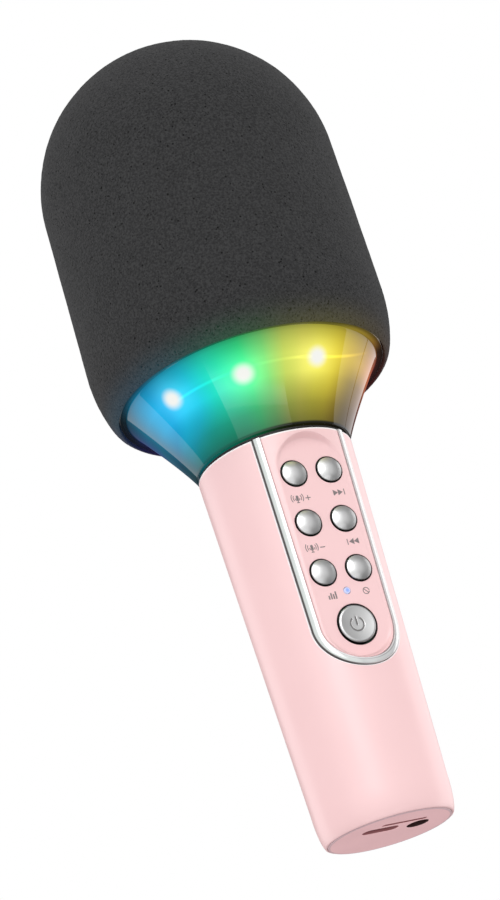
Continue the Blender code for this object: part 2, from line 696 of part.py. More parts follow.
def build_capsule():
    foot_inner, foot_outer = BRIDGE_FOOT_R
    foot_z = PLATE_Z + PLATE_THICK + GAP
    foot = [
        (foot_inner, foot_z + 0.0016),
        (foot_outer, foot_z + 0.0016),
        (foot_outer, foot_z),
        (foot_inner, foot_z),
    ]
    bridge = turned("capsule_bridge", foot, "black_plastic", steps=32)
    cup_inner, cup_outer = BRIDGE_CUP_R
    cup_foot, cup_top = BRIDGE_CUP_Z
    cup = [(cup_inner, cup_top), (cup_outer, cup_top), (cup_outer, cup_foot), (cup_inner, cup_foot)]
    combine(bridge, turned("bridge_cup", cup, steps=20), "UNION")
    leg_foot = Vector(((foot_inner + foot_outer) / 2, 0.0, foot_z + 0.0008))
    leg_top = Vector(((cup_inner + cup_outer) / 2 + 0.0004, 0.0, cup_foot + 0.0050))
    span = leg_top - leg_foot
    lean = Matrix.Rotation(math.atan2(span.x, span.z), 4, "Y")
    legs = bmesh.new()
    for i in range(3):
        turn = Matrix.Rotation(math.radians(60 + 120 * i), 4, "Z")
        size = Matrix.Diagonal((0.0018, 0.0046, span.length, 1.0))
        middle = Matrix.Translation((leg_foot + leg_top) / 2)
        bmesh.ops.create_cube(legs, size=1.0, matrix=turn @ middle @ lean @ size)
    mesh = bpy.data.meshes.new("bridge_legs")
    legs.to_mesh(mesh)
    legs.free()
    combine(bridge, place(bpy.data.objects.new("bridge_legs", mesh)), "UNION")

    outer_r = cup_inner - GAP
    cup_r = CAPSULE_R + GAP
    floor = cup_foot + 0.0010
    holder = [
        (cup_r, cup_top + 0.0014),
        (cup_outer, cup_top + 0.0014),
        (cup_outer, cup_top + GAP),
        (outer_r, cup_top + GAP),
        (outer_r, floor),
        (0.0015, floor),
        (0.0015, floor + 0.0014),
        (cup_r, floor + 0.0014),
    ]
    turned("capsule_holder", holder, "rubber", steps=20)
    seat = floor + 0.0014 + GAP
    top = cup_top + 0.0040
    capsule = [
        (0.0, top),
        (CAPSULE_R - 0.0010, top),
        (CAPSULE_R, top - 0.0008),
        (CAPSULE_R, seat),
        (0.0, seat),
    ]
    turned("mic_capsule", capsule, "steel", steps=20)


def smooth_route(points, count):
    """Points along a smooth curve that passes through the given ones."""
    ends = [points[0] * 2 - points[1]] + points + [points[-1] * 2 - points[-2]]
    route = []
    for before, start, end, after in zip(ends, ends[1:], ends[2:], ends[3:]):
        for i in range(count):
            t = i / count
            slope = (end - before) * t
            bend = (2 * before - 5 * start + 4 * end - after) * t ** 2
            twist = (3 * start - before - 3 * end + after) * t ** 3
            route.append(start + (slope + bend + twist) / 2)
    return route + [points[-1]]


def build_lead(name, radius, points):
    curve = bpy.data.curves.new(name, "CURVE")
    curve.dimensions = "3D"
    curve.bevel_depth = radius
    curve.bevel_resolution = 2
    curve.use_fill_caps = True
    route = smooth_route([Vector(point) for point in points], 3)
    spline = curve.splines.new("POLY")
    spline.points.add(len(route) - 1)
    for point, place_at in zip(spline.points, route):
        point.co = (*place_at, 1.0)
    obj = bpy.data.objects.new(name, curve)
    PARTS.objects.link(obj)
    curve.materials.append(new_material(name, *FINISHES["wire"]))


def build_leads():
    """Loose leads inside the housing, each from its part to the top of the main board."""
    build_lead("speaker_lead", 0.0007, [
        (0.0190, 0.0000, 0.1318),
        (0.0184, 0.0010, 0.1240),
        (0.0150, 0.0010, 0.1150),
        (0.0085, -0.0020, 0.1080),
        (0.0064, -0.0032, 0.1010),
        (0.0062, -0.0040, 0.0985),
    ])
    build_lead("capsule_lead", 0.0006, [
        (0.0000, 0.0000, 0.2056),
        (-0.0020, 0.0000, 0.1990),
        (-0.0130, 0.0000, 0.1850),
        (-0.0255, 0.0000, 0.1620),
        (-0.0302, 0.0000, 0.1480),
        (-0.0302, 0.0000, 0.1400),
        (-0.0270, 0.0000, 0.1358),
        (-0.0205, 0.0000, 0.1325),
        (-0.0186, 0.0000, 0.1250),
        (-0.0150, 0.0000, 0.1150),
        (-0.0085, -0.0020, 0.1080),
        (-0.0064, -0.0032, 0.1010),
        (-0.0062, -0.0040, 0.0985),
    ])
    build_lead("battery_lead", 0.0006, [
        (0.0000, 0.0066, 0.0330),
        (0.0000, 0.0060, 0.0290),
        (0.0000, 0.0020, 0.0265),
        (0.0000, -0.0020, 0.0262),
        (0.0000, -0.0046, 0.0262),
    ])


def build_microphone():
    panel_frame = bpy.data.objects.new("panel_frame", None)
    PARTS.objects.link(panel_frame)
    panel_frame.location = (0.0, -PANEL_DISTANCE, PANEL_CENTRE_Z)
    panel_frame.rotation_euler = (math.pi / 2 + PANEL_TILT, 0.0, 0.0)
    build_handle(panel_frame)
    build_controls(panel_frame)
    build_electronics()
    build_end_cap()
    build_chassis()
    build_neck()
    build_light_ring()
    build_speaker()
    build_head()
    build_capsule()
    build_leads()


build_microphone()
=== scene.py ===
"""Looks of the karaoke microphone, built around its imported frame.

The microphone stands on its end cap with +Z along its axis and the button panel facing -Y. All
lengths are in metres. Pieces are made at rest, in the row's own frame, and then ride on their bodies.
"""
import json
from functools import partialmethod
from math import asin, atan2, ceil, cos, dist, hypot, pi, radians, sin, sqrt, tan

import bmesh
import bpy
import numpy as np
from mathutils import Matrix, Vector, kdtree, noise
from mathutils.geometry import delaunay_2d_cdt


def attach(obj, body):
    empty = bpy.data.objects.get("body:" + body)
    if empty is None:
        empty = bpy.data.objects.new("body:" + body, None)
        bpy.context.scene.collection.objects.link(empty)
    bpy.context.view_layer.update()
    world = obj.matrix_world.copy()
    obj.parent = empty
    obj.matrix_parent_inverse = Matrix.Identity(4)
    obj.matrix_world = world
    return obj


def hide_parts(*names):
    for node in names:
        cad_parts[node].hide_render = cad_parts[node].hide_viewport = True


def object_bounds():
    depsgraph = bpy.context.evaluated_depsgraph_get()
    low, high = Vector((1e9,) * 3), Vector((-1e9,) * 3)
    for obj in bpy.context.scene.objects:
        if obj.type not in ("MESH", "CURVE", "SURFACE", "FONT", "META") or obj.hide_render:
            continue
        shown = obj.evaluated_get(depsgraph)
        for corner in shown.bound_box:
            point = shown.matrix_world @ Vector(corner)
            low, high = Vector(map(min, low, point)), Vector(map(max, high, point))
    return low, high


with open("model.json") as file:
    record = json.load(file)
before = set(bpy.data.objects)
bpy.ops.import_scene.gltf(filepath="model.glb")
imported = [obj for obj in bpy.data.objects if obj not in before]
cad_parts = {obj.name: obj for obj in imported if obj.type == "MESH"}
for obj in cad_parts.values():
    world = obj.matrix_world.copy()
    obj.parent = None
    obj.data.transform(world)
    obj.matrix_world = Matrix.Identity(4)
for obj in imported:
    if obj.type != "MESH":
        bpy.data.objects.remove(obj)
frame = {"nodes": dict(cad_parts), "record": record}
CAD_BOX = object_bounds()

TAU = 2 * pi
GAP = 0.0003  # clearance between pieces that touch

# Camera, from below and from the left of the panel, with the microphone's top leaning left.
CAMERA_AZIMUTH = -27.0
CAMERA_ELEVATION = -23.33
CAMERA_ROLL = radians(17.38)
CAMERA_DISTANCE = 0.6097
CAMERA_LENS = 84.2
CAMERA_AIM = (-0.0034, -0.0084)

# Handle sleeve.
HANDLE_TOP_Z = 0.1106
HANDLE_TOP_R = 0.02284
FOOT_CURVE_Z = 0.01
FOOT_CURVE_R = 0.01924
FOOT_R = 0.01743
SLEEVE_FOOT_Z = 0.00025
SLEEVE_WALL = 0.0018
SLEEVE_BORE_R = 0.0176
TAPER = (HANDLE_TOP_R - FOOT_CURVE_R) / (HANDLE_TOP_Z - FOOT_CURVE_Z)

# Panel frame: x across, y up the panel from the middle of its foot arc, z out of the recess.
PANEL_TILT = radians(2.3)
PANEL_CENTRE_Z = 0.0534
PANEL_DISTANCE = 0.01805
PANEL_FRAME = Matrix.Translation((0.0, -PANEL_DISTANCE, PANEL_CENTRE_Z)) @ Matrix.Rotation(
    pi / 2 + PANEL_TILT, 4, "X"
)
PANEL_ARC_R = 0.013
PANEL_LEG_SPREAD = radians(1.2)
PANEL_THICK = 0.0029
TRIM_WIDTH = 0.0016
RECESS_R = 0.01
RECESS_LENGTH = 0.0458

# Buttons and the indicator, in the panel frame.
BUTTON_R = 0.00365
BUTTON_X = 0.0054
BUTTON_ROWS = (0.045, 0.0301, 0.0153)
BUTTON_NAMES = (("mic_up", "next_track"), ("mic_down", "previous_track"), ("mode", "mute"))
POWER_R = 0.0054
POWER_Y = -0.0005
HOLE_CLEAR = 0.00035
POWER_HOLE_X = 0.0001
POWER_HOLE_R = POWER_R + HOLE_CLEAR + 0.00014
SIGN_R = 0.00195
SIGN_GAP = radians(34)
SIGN_STEM = (-0.00025, 0.0021)
KEY_FOOT = -0.003
INDICATOR_Y = 0.0093
INDICATOR_R = 0.0009

# End cap and its ports.
CAP_R = 0.01715
CAP_THICK = 0.002
USB_PORT = (-0.0045, -0.0036, 0.0106, 0.004)
CARD_PORT = (0.001, -0.0078, 0.0134, 0.0016)
JACK_PORT = (0.007, -0.0031, 0.0031)

# Flared diffuser.
FLARE_FOOT_Z = 0.1119
FLARE_FOOT_R = 0.02295
FLARE_TOP_Z = 0.135
FLARE_TOP_R = 0.0376
FLARE_POWER = 1.12
FLARE_WALL = 0.0022
RIM_R = 0.0397
RIM_TOP_Z = 0.1384
GASKET_R = 0.0222
LED_COUNT = 9
LED_PHASE = radians(-28.7)
LED_Z = 0.1273

# Foam windscreen and the cage under it.
HEAD_CENTRE_Z = 0.2045
FOAM_R = 0.0453
FOAM_BORE_R = 0.0402
FOAM_FOOT_Z = 0.1344
FOAM_FOOT_R = 0.0404
FOAM_CURVE_Z = 0.1523
FOAM_CURVE_POWER = 1.15
FOAM_TOP_Z = 0.25
CAGE_R = 0.0396
CAGE_WALL = 0.0016
CAGE_FOOT_Z = 0.143
CAGE_SLOTS = 14
CAGE_ROWS = ((0.15, 0.173), (0.178, 0.201))
CAGE_SLOT_HALF = 0.005
CAGE_CROWN_HALF = 0.00425

# Colours and finishes.
PINK = (0.955, 0.63, 0.636)
# Painted shade down the sides of the panel's holes.
HOLE_SHADE_COLOUR = (0.05, 0.026, 0.026)
# Painted highlight along the handle's top edge and the panel opening's border.
EDGE_HIGHLIGHT_COLOUR = (1.0, 0.95, 0.955)
# Painted shade on the keys' flanks where they stand in their holes.
GAP_SHADE_COLOUR = (0.06, 0.04, 0.04)
PLASTICS = {  # colour, roughness, depth of the grain, spread of the colour
    "pink_cap": ((0.93, 0.56, 0.58), 0.5, 0.00001, 0.03),
    "black_rubber": ((0.012, 0.012, 0.013), 0.6, 0.00003, 0.2),
    "black_plastic": ((0.03, 0.03, 0.032), 0.42, 0.00003, 0.15),
    "white_plastic": ((0.78, 0.78, 0.76), 0.42, 0.00002, 0.05),
    "battery_can": ((0.04, 0.16, 0.42), 0.3, 0.00001, 0.08),
    "wire_jacket": ((0.45, 0.03, 0.03), 0.38, 0.00002, 0.12),
}
METALS = {  # colour, roughness, stretch of the scratches, their depth
    "bright_steel": ((0.6, 0.6, 0.62), 0.28, (1.0, 1.0, 0.08)),
    "speaker_steel": ((0.16, 0.16, 0.17), 0.4),
    "magnet_iron": ((0.14, 0.14, 0.15), 0.5, (0.1, 0.1, 1.0), 0.00002),
    "capsule_metal": ((0.62, 0.62, 0.63), 0.25, (1.0, 1.0, 0.1)),
}
GLOW_HUES = (  # share of the turn, colour
    (0.0, (0.3, 0.03, 0.55)),
    (0.1, (0.06, 0.05, 0.7)),
    (0.15, (0.02, 0.2, 0.78)),
    (0.2, (0.01, 0.44, 0.77)),
    (0.286, (0.006, 0.47, 0.86)),
    (0.314, (0.006, 0.61, 0.95)),
    (0.342, (0.008, 0.66, 0.88)),
    (0.369, (0.01, 0.76, 0.61)),
    (0.397, (0.02, 0.9, 0.45)),
    (0.425, (0.04, 0.97, 0.31)),
    (0.453, (0.24, 0.86, 0.22)),
    (0.481, (0.65, 0.78, 0.13)),
    (0.508, (0.84, 0.81, 0.12)),
    (0.536, (0.88, 0.8, 0.08)),
    (0.564, (0.84, 0.7, 0.055)),
    (0.592, (0.72, 0.52, 0.045)),
    (0.62, (0.6, 0.39, 0.035)),
    (0.647, (0.5, 0.25, 0.03)),
    (0.7, (0.45, 0.08, 0.03)),
    (0.78, (0.62, 0.03, 0.05)),
    (0.89, (0.6, 0.02, 0.28)),
    (1.0, (0.3, 0.03, 0.55)),
)
GLOW_LEVELS = (  # height on the flare, brightness
    (0.112, 0.19),
    (0.1135, 0.25),
    (0.117, 0.41),
    (0.121, 0.7),
    (0.1245, 0.97),
    (0.129, 1.0),
    (0.1315, 0.82),
    (0.134, 0.57),
    (0.135, 0.4),
)
STREAK_LEVELS = (  # share of the turn, brightness of the thin bright line through the lights
    (0.308, 0.0),
    (0.318, 1.0),
    (0.37, 0.6),
    (0.411, 0.2),
    (0.48, 0.3),
    (0.531, 1.0),
    (0.592, 0.9),
    (0.645, 0.0),
)
RIM_LEVELS = (  # degrees round the rim from and to, brightness there
    (-114.0, -84.0, 0.35, 1.0),
    (-75.0, -40.0, 1.7, 1.0),
    (15.0, 42.0, 0.36, 1.22),
    (50.0, 64.0, 1.0, 0.12),
)


# ---------------- outlines and profiles


def arc(centre_x, centre_y, radius, start, end, count):
    angles = [start + (end - start) * i / count for i in range(count + 1)]
    return [(centre_x + radius * cos(a), centre_y + radius * sin(a)) for a in angles]


def circle(centre_x, centre_y, radius, count):
    return arc(centre_x, centre_y, radius, 0.0, TAU, count)[:-1]


def wide_slot(centre_x, centre_y, width, height, count):
    """A slot with round ends that lies along x."""
    half = (width - height) / 2
    right = arc(centre_x + half, centre_y, height / 2, -pi / 2, pi / 2, count)
    left = arc(centre_x - half, centre_y, height / 2, pi / 2, 3 * pi / 2, count)
    return right + left


def handle_radius(z):
    """Outer radius of the handle: a straight taper above a foot that curves in."""
    if z >= FOOT_CURVE_Z:
        return FOOT_CURVE_R + TAPER * (z - FOOT_CURVE_Z)
    drop = 1.0 - z / FOOT_CURVE_Z
    return FOOT_R + (FOOT_CURVE_R - FOOT_R) * sqrt(1.0 - drop * drop)


def cone_height(x, y):
    """Height of the handle's surface over the panel frame's plane at (x, y)."""
    height = 0.0
    for _ in range(6):
        z = PANEL_CENTRE_Z + y * cos(PANEL_TILT) - height * sin(PANEL_TILT)
        radius = FOOT_CURVE_R + TAPER * (z - FOOT_CURVE_Z)
        reach = sqrt(max(radius * radius - x * x, 0.0))
        height = (reach - PANEL_DISTANCE - y * sin(PANEL_TILT)) / cos(PANEL_TILT)
    return height


def panel_top(x):
    """Where the panel frame's column at x reaches the handle's top."""
    y = 0.0574
    for _ in range(4):
        y = (HANDLE_TOP_Z - PANEL_CENTRE_Z + cone_height(x, y) * sin(PANEL_TILT)) / cos(PANEL_TILT)
    return y


def on_panel(x, y, height):
    return PANEL_FRAME @ Vector((x, y, height))


def seat(x, y):
    """The panel frame moved to (x, y)."""
    return PANEL_FRAME @ Matrix.Translation((x, y, 0.0))


def panel_opening(inset):
    """The U of the panel's opening, drawn in by inset, from its right leg's top round to its left leg's."""
    radius = PANEL_ARC_R - inset
    foot = arc(0.0, 0.0, radius, -PANEL_LEG_SPREAD, PANEL_LEG_SPREAD - pi, 56)
    start_x, start_y = foot[0]
    top = panel_top(start_x + 0.057 * tan(PANEL_LEG_SPREAD))
    count = round((top - start_y) / 0.0008)
    leg = []
    for i in range(count):
        y = top + (start_y - top) * i / count
        leg.append((start_x + (y - start_y) * tan(PANEL_LEG_SPREAD), y))
    return leg + foot + [(-x, y) for x, y in leg[::-1]]


def flare_radius(z):
    share = max((z - FLARE_FOOT_Z) / (FLARE_TOP_Z - FLARE_FOOT_Z), 0.0)
    return FLARE_FOOT_R + (FLARE_TOP_R - FLARE_FOOT_R) * share ** FLARE_POWER


def rounded(points, radius):
    """The closed outline with its corners rounded off."""
    result = []
    for i, point in enumerate(points):
        here = Vector(point)
        before = Vector(points[i - 1]) - here
        after = Vector(points[(i + 1) % len(points)]) - here
        reach = min(radius, before.length * 0.45, after.length * 0.45)
        start = here + before.normalized() * reach
        end = here + after.normalized() * reach
        for t in (0.0, 0.25, 0.5, 0.75, 1.0):
            result.append(start * (1 - t) ** 2 + here * 2 * t * (1 - t) + end * t * t)
    return [tuple(point) for point in result]


def dense(points, step, closed=False):
    """The line through points with more points along it, no further apart than step."""
    result = []
    ends = points[1:] + points[:1] if closed else points[1:]
    for start, end in zip(points, ends):
        start = Vector(start)
        end = Vector(end)
        count = max(1, ceil((end - start).length / step))
        result += [tuple(start.lerp(end, i / count)) for i in range(count)]
    return result if closed else result + [tuple(points[-1])]


def edge_distance(points, loops):
    """How far each point is from the nearest side of the closed loops."""
    points = np.array(points)
    nearest = np.full(len(points), 1.0)
    for loop in loops:
        starts = np.array(loop)
        ends = np.roll(starts, -1, axis=0)
        for start, end in zip(starts, ends):
            side = end - start
            along = np.clip(((points - start) @ side) / max(side @ side, 1e-18), 0.0, 1.0)
            gap = points - start - along[:, None] * side
            nearest = np.minimum(nearest, np.hypot(gap[:, 0], gap[:, 1]))
    return nearest


def inside(points, loop):
    """Which of the points lie in the closed loop."""
    points = np.array(points)
    result = np.zeros(len(points), bool)
    x, y = points[:, 0], points[:, 1]
    previous = loop[-1]
    for point in loop:
        if point[1] != previous[1]:
            crosses = (point[1] > y) != (previous[1] > y)
            cut = (previous[0] - point[0]) * (y - point[1]) / (previous[1] - point[1]) + point[0]
            result ^= crosses & (x < cut)
        previous = point
    return result


def filled(points, outline, holes):
    """Which of the points lie in the outline and in none of its holes."""
    keep = inside(points, outline)
    for hole in holes:
        keep &= ~inside(points, hole)
    return keep


# ---------------- meshes


def finish_mesh(name, shape, sharp=38.0):
    """A mesh object from a bmesh, smooth apart from its sharp edges."""
    bmesh.ops.remove_doubles(shape, verts=shape.verts, dist=1e-7)
    bmesh.ops.dissolve_degenerate(shape, dist=1e-7, edges=shape.edges)
    bmesh.ops.recalc_face_normals(shape, faces=shape.faces)
    mesh = bpy.data.meshes.new(name)
    shape.to_mesh(mesh)
    shape.free()
    mesh.shade_smooth()
    mesh.set_sharp_from_angle(angle=radians(sharp))
    obj = bpy.data.objects.new(name, mesh)
    bpy.context.scene.collection.objects.link(obj)
    return obj


def turned(name, profile, steps, at=None, wobble=None, sharp=38.0):
    """A profile of (radius, z) turned about Z. It closes on the axis if it starts there, else as a ring."""
    shape = bmesh.new()
    rows = []
    for radius, z in profile:
        ring = []
        for i in range(steps if radius > 1e-7 else 1):
            turn = TAU * i / steps
            spot = Vector((radius * sin(turn), -radius * cos(turn), z))
            if wobble:
                spot = wobble(spot)
            ring.append(shape.verts.new(spot))
        rows.append(ring)
    pairs = list(zip(rows, rows[1:]))
    if profile[0][0] > 1e-7:
        pairs.append((rows[-1], rows[0]))
    for first, second in pairs:
        for i in range(steps):
            corners = [first[i % len(first)], first[(i + 1) % len(first)]]
            corners += [second[(i + 1) % len(second)], second[i % len(second)]]
            corners = list(dict.fromkeys(corners))
            if len(corners) > 2:
                shape.faces.new(corners)
    if at is not None:
        bmesh.ops.transform(shape, matrix=at, verts=shape.verts)
    return finish_mesh(name, shape, sharp)


def cut_sheet(outline, holes, spacing, rings):
    """Flat triangles that fill the outline around its holes, finer along rings of extra points."""
    loops = [outline] + holes
    fixed = [point for loop in loops for point in loop]
    edges = []
    start = 0
    for loop in loops:
        edges += [(start + i, start + (i + 1) % len(loop)) for i in range(len(loop))]
        start += len(loop)
    extra = [point for ring in rings for point in ring]
    tree = kdtree.KDTree(len(fixed) + len(extra))
    for i, (x, y) in enumerate(fixed + extra):
        tree.insert((x, y, 0.0), i)
    tree.balance()
    low = np.min(outline, axis=0)
    high = np.max(outline, axis=0)
    grid = []
    for j in range(int((high[1] - low[1]) / (spacing * 0.866)) + 1):
        for i in range(int((high[0] - low[0]) / spacing) + 2):
            spot = (low[0] + (i + 0.5 * (j % 2)) * spacing, low[1] + j * spacing * 0.866)
            if tree.find((spot[0], spot[1], 0.0))[2] > spacing * 0.6:
                grid.append(spot)
    free = extra + grid
    keep = filled(free, outline, holes) & (edge_distance(free, loops) > 1e-6)
    points = fixed + [spot for spot, kept in zip(free, keep) if kept]
    scale = 1000.0
    coords = [Vector((x * scale, y * scale)) for x, y in points]
    result = delaunay_2d_cdt(coords, edges, [], 0, 1e-6)
    points = [(v.x / scale, v.y / scale) for v in result[0]]
    middles = [np.mean([points[i] for i in face], axis=0) for face in result[2]]
    keep = filled(middles, outline, holes)
    return points, [tuple(face) for face, kept in zip(result[2], keep) if kept]


def edge_drops(points, loops, radius):
    """How far a rounded edge of that radius along the loops has fallen at each point."""
    drops = {}
    for point, gap in zip(points, edge_distance(points, loops)):
        reach = radius - min(gap, radius)
        drops[point] = radius - sqrt(max(radius * radius - reach * reach, 0.0))
    return drops


def smooth(share):
    """0 below 0 and 1 above 1, with a soft start and end between them."""
    share = min(max(share, 0.0), 1.0)
    return share * share * (3 - 2 * share)


def offsets(radius):
    """Distances from a side at which a rounded edge needs points."""
    return [radius * share for share in (0.07, 0.22, 0.45, 0.72, 1.0)]


def thickened(name, points, faces, outer, inner):
    """A closed piece between two surfaces; outer and inner turn a flat point into a place."""
    shape = bmesh.new()
    spots = {}
    front = []
    back = []
    number = []
    for point in points:
        place = outer(*point)
        key = tuple(round(value, 7) for value in place)
        if key not in spots:
            spots[key] = len(front)
            front.append(shape.verts.new(place))
            back.append(shape.verts.new(inner(*point)))
        number.append(spots[key])
    sides = {}
    for face in faces:
        face = [number[i] for i in face]
        for start, end in zip(face, face[1:] + face[:1]):
            if (end, start) in sides:
                del sides[(end, start)]
            else:
                sides[(start, end)] = True
        shape.faces.new([front[i] for i in face])
        shape.faces.new([back[i] for i in face[::-1]])
    for start, end in sides:
        shape.faces.new([front[end], front[start], back[start], back[end]])
    return finish_mesh(name, shape)


# ---------------- materials


class Value:
    """A node's output that takes arithmetic; each step adds a node."""

    def __init__(self, nodes, socket):
        self.nodes = nodes
        self.socket = socket

    def calc(self, operation, second=0.0, third=0.0):
        return self.nodes.add("Math", {0: self, 1: second, 2: third}, operation=operation)

    __add__ = partialmethod(calc, "ADD")
    __sub__ = partialmethod(calc, "SUBTRACT")
    __mul__ = partialmethod(calc, "MULTIPLY")
    __truediv__ = partialmethod(calc, "DIVIDE")
    __pow__ = partialmethod(calc, "POWER")
    __abs__ = partialmethod(calc, "ABSOLUTE")
    most = partialmethod(calc, "MAXIMUM")

    def __rsub__(self, other):
        return self.nodes.add("Math", {0: other, 1: self}, operation="SUBTRACT")

    def line(self, start, end, low=0.0, high=1.0, **settings):
        """low where this value is at start and high where it is at end, straight between them."""
        inputs = {"Value": self, "From Min": start, "From Max": end, "To Min": low, "To Max": high}
        return self.nodes.add("MapRange", inputs, **settings)

    def fade(self, start, end, low=0.0, high=1.0):
        """As line, but smooth at both ends."""
        return self.line(start, end, low, high, interpolation_type="SMOOTHSTEP")


class Nodes:
    """A node tree and short calls for adding to it."""

    def __init__(self, tree):
        self.tree = tree

    def node(self, kind, inputs=(), **settings):
        node = self.tree.nodes.new("ShaderNode" + kind)
        for key, value in settings.items():
            setattr(node, key, value)
        for key, value in dict(inputs).items():
            self.put(node.inputs[key], value)
        return node

    def add(self, kind, inputs=(), output=0, **settings):
        """One output of a new node."""
        return Value(self, self.node(kind, inputs, **settings).outputs[output])

    def put(self, socket, value):
        if isinstance(value, Value):
            self.tree.links.new(value.socket, socket)
        elif isinstance(value, tuple) and len(value) == 3 and len(socket.default_value) == 4:
            socket.default_value = (*value, 1.0)
        else:
            socket.default_value = value

    def reach(self, x, y):
        """Distance of (x, y) from (0, 0)."""
        return (x * x + y * y).calc("SQRT")

    def dot(self, vector, along):
        return self.add("VectorMath", {0: vector, 1: tuple(along)}, "Value", operation="DOT_PRODUCT")

    def split(self, vector):
        """The x, y and z of a vector."""
        return [Value(self, socket) for socket in self.node("SeparateXYZ", {0: vector}).outputs]


class Recipe(Nodes):
    """A material and short calls for building its nodes."""

    def __init__(self, name, roughness, metallic=0.0):
        self.name = name
        self.material = bpy.data.materials.new(name)
        self.material.use_nodes = True
        super().__init__(self.material.node_tree)
        self.surface = self.tree.nodes["Principled BSDF"]
        self.set(Roughness=roughness, Metallic=metallic)
        self.place = self.add("TexCoord", output="Object")

    def set(self, **values):
        for key, value in values.items():
            self.put(self.surface.inputs[key.replace("_", " ")], value)

    def noise(self, scale, detail=2.0, stretch=None):
        place = self.place
        if stretch:
            place = self.add("VectorMath", {0: place, 1: stretch}, operation="MULTIPLY")
        return self.add("TexNoise", {"Vector": place, "Scale": scale, "Detail": detail}, "Fac")

    def cells(self, scale, place=None):
        """Distance from the middle of the nearest cell."""
        return self.add("TexVoronoi", {"Vector": place or self.place, "Scale": scale}, "Distance")

    def ramp(self, factor, stops):
        """Colours or grey levels in a row of (position, colour) stops."""
        node = self.node("ValToRGB", {"Fac": factor})
        elements = node.color_ramp.elements
        while len(elements) < len(stops):
            elements.new(0.5)
        for element, (position, colour) in zip(elements, stops):
            element.position = position
            element.color = (*(colour if isinstance(colour, tuple) else grey(colour)), 1.0)
        return Value(self, node.outputs["Color"])

    def mix(self, factor, first, second, blend="MIX"):
        return self.add("Mix", {0: factor, 6: first, 7: second}, 2, data_type="RGBA", blend_type=blend)

    def dimmed(self, colour, level):
        return self.mix(1.0, colour, self.add("CombineXYZ", {0: level, 1: level, 2: level}), "MULTIPLY")

    def azimuth(self):
        """Angle round the microphone's axis, 0 in the middle of the panel's side."""
        x, y, _ = self.split(self.place)
        return x.calc("ARCTAN2", y * -1.0)

    def panel_place(self, axis):
        """Distance along one axis of the panel frame."""
        across = Vector(PANEL_FRAME.col[axis][:3])
        return self.dot(self.place, across) - across.dot(PANEL_FRAME.translation)

    def panel_band(self):
        """Distance outwards from the U line on which the panel's opening lies."""
        x, y = self.panel_place(0), self.panel_place(1)
        x = abs(x) - y.most(0.0) * tan(PANEL_LEG_SPREAD)
        return self.reach(x, y.calc("MINIMUM", 0.0)) - PANEL_ARC_R

    def bump(self, height, distance):
        self.set(Normal=self.add("Bump", {"Height": height, "Distance": distance}))


def grey(level):
    return (level, level, level)


def shade(colour, factor):
    return tuple(channel * factor for channel in colour)


def moulded(name, colour, roughness, grain, spread, gloss=0.5, hole_shade=False, edge_highlights=False):
    """Moulded plastic: fine grain, cloudy colour, uneven gloss and, if asked for, painted shade down the
    panel's holes and painted highlights along edges.
    """
    look = Recipe(name, roughness)
    cloud = look.noise(60.0, 3.0)
    tone = look.mix(cloud, shade(colour, 1.0 - spread), shade(colour, 1.0 + spread / 2))
    # Painted shade down the sides of the panel's holes, below its surface.
    if hole_shade:
        sunk_shade = look.panel_place(2).fade(-0.00004, -0.00016)
        within = abs(look.panel_place(0)).fade(0.0101, 0.0098)
        tone = look.mix(sunk_shade * within, tone, HOLE_SHADE_COLOUR)
    # Painted highlight along the handle's top edge and the rounded border of the opening.
    if edge_highlights:
        _, y, z = look.split(look.place)
        band = look.panel_band()
        border = band.fade(0.0004, 0.0001) * band.fade(-0.0005, -0.0002) * y.fade(0.0, -0.004)
        highlight_share = border.most(z.fade(HANDLE_TOP_Z - 0.00065, HANDLE_TOP_Z - 0.0003))
        tone = look.mix(highlight_share, tone, EDGE_HIGHLIGHT_COLOUR)
    look.tone = tone
    look.set(Base_Color=tone, Specular_IOR_Level=gloss)
    look.set(Roughness=cloud.fade(0.3, 0.7, roughness - 0.03, roughness + 0.04))
    look.bump(look.noise(2600.0, 2.0), grain)
    return look


def metal(name, colour, roughness, stretch=(1.0, 1.0, 1.0), scratch=0.000004, painted_shade=None):
    """Bare or plated metal: scratches, stretched if asked for, uneven polish and, if asked for, a part
    darkened with painted shade.
    """
    look = Recipe(name, roughness, 1.0)
    cloud = look.noise(220.0, 2.0)
    tone = look.mix(cloud, shade(colour, 0.94), colour)
    # Painted shade on the masked part, such as a key's flank in its hole.
    if painted_shade:
        tone = look.mix(painted_shade(look), tone, GAP_SHADE_COLOUR)
    look.set(Base_Color=tone, Roughness=cloud.fade(0.3, 0.7, roughness * 0.88, roughness * 1.12))
    look.bump(look.noise(3000.0, 2.0, stretch), scratch)
    return look


def key_flank_shade(look):
    """1 on the part of a key that stands in its hole, where painted shade goes."""
    return look.panel_place(2).fade(0.00018, 0.0)


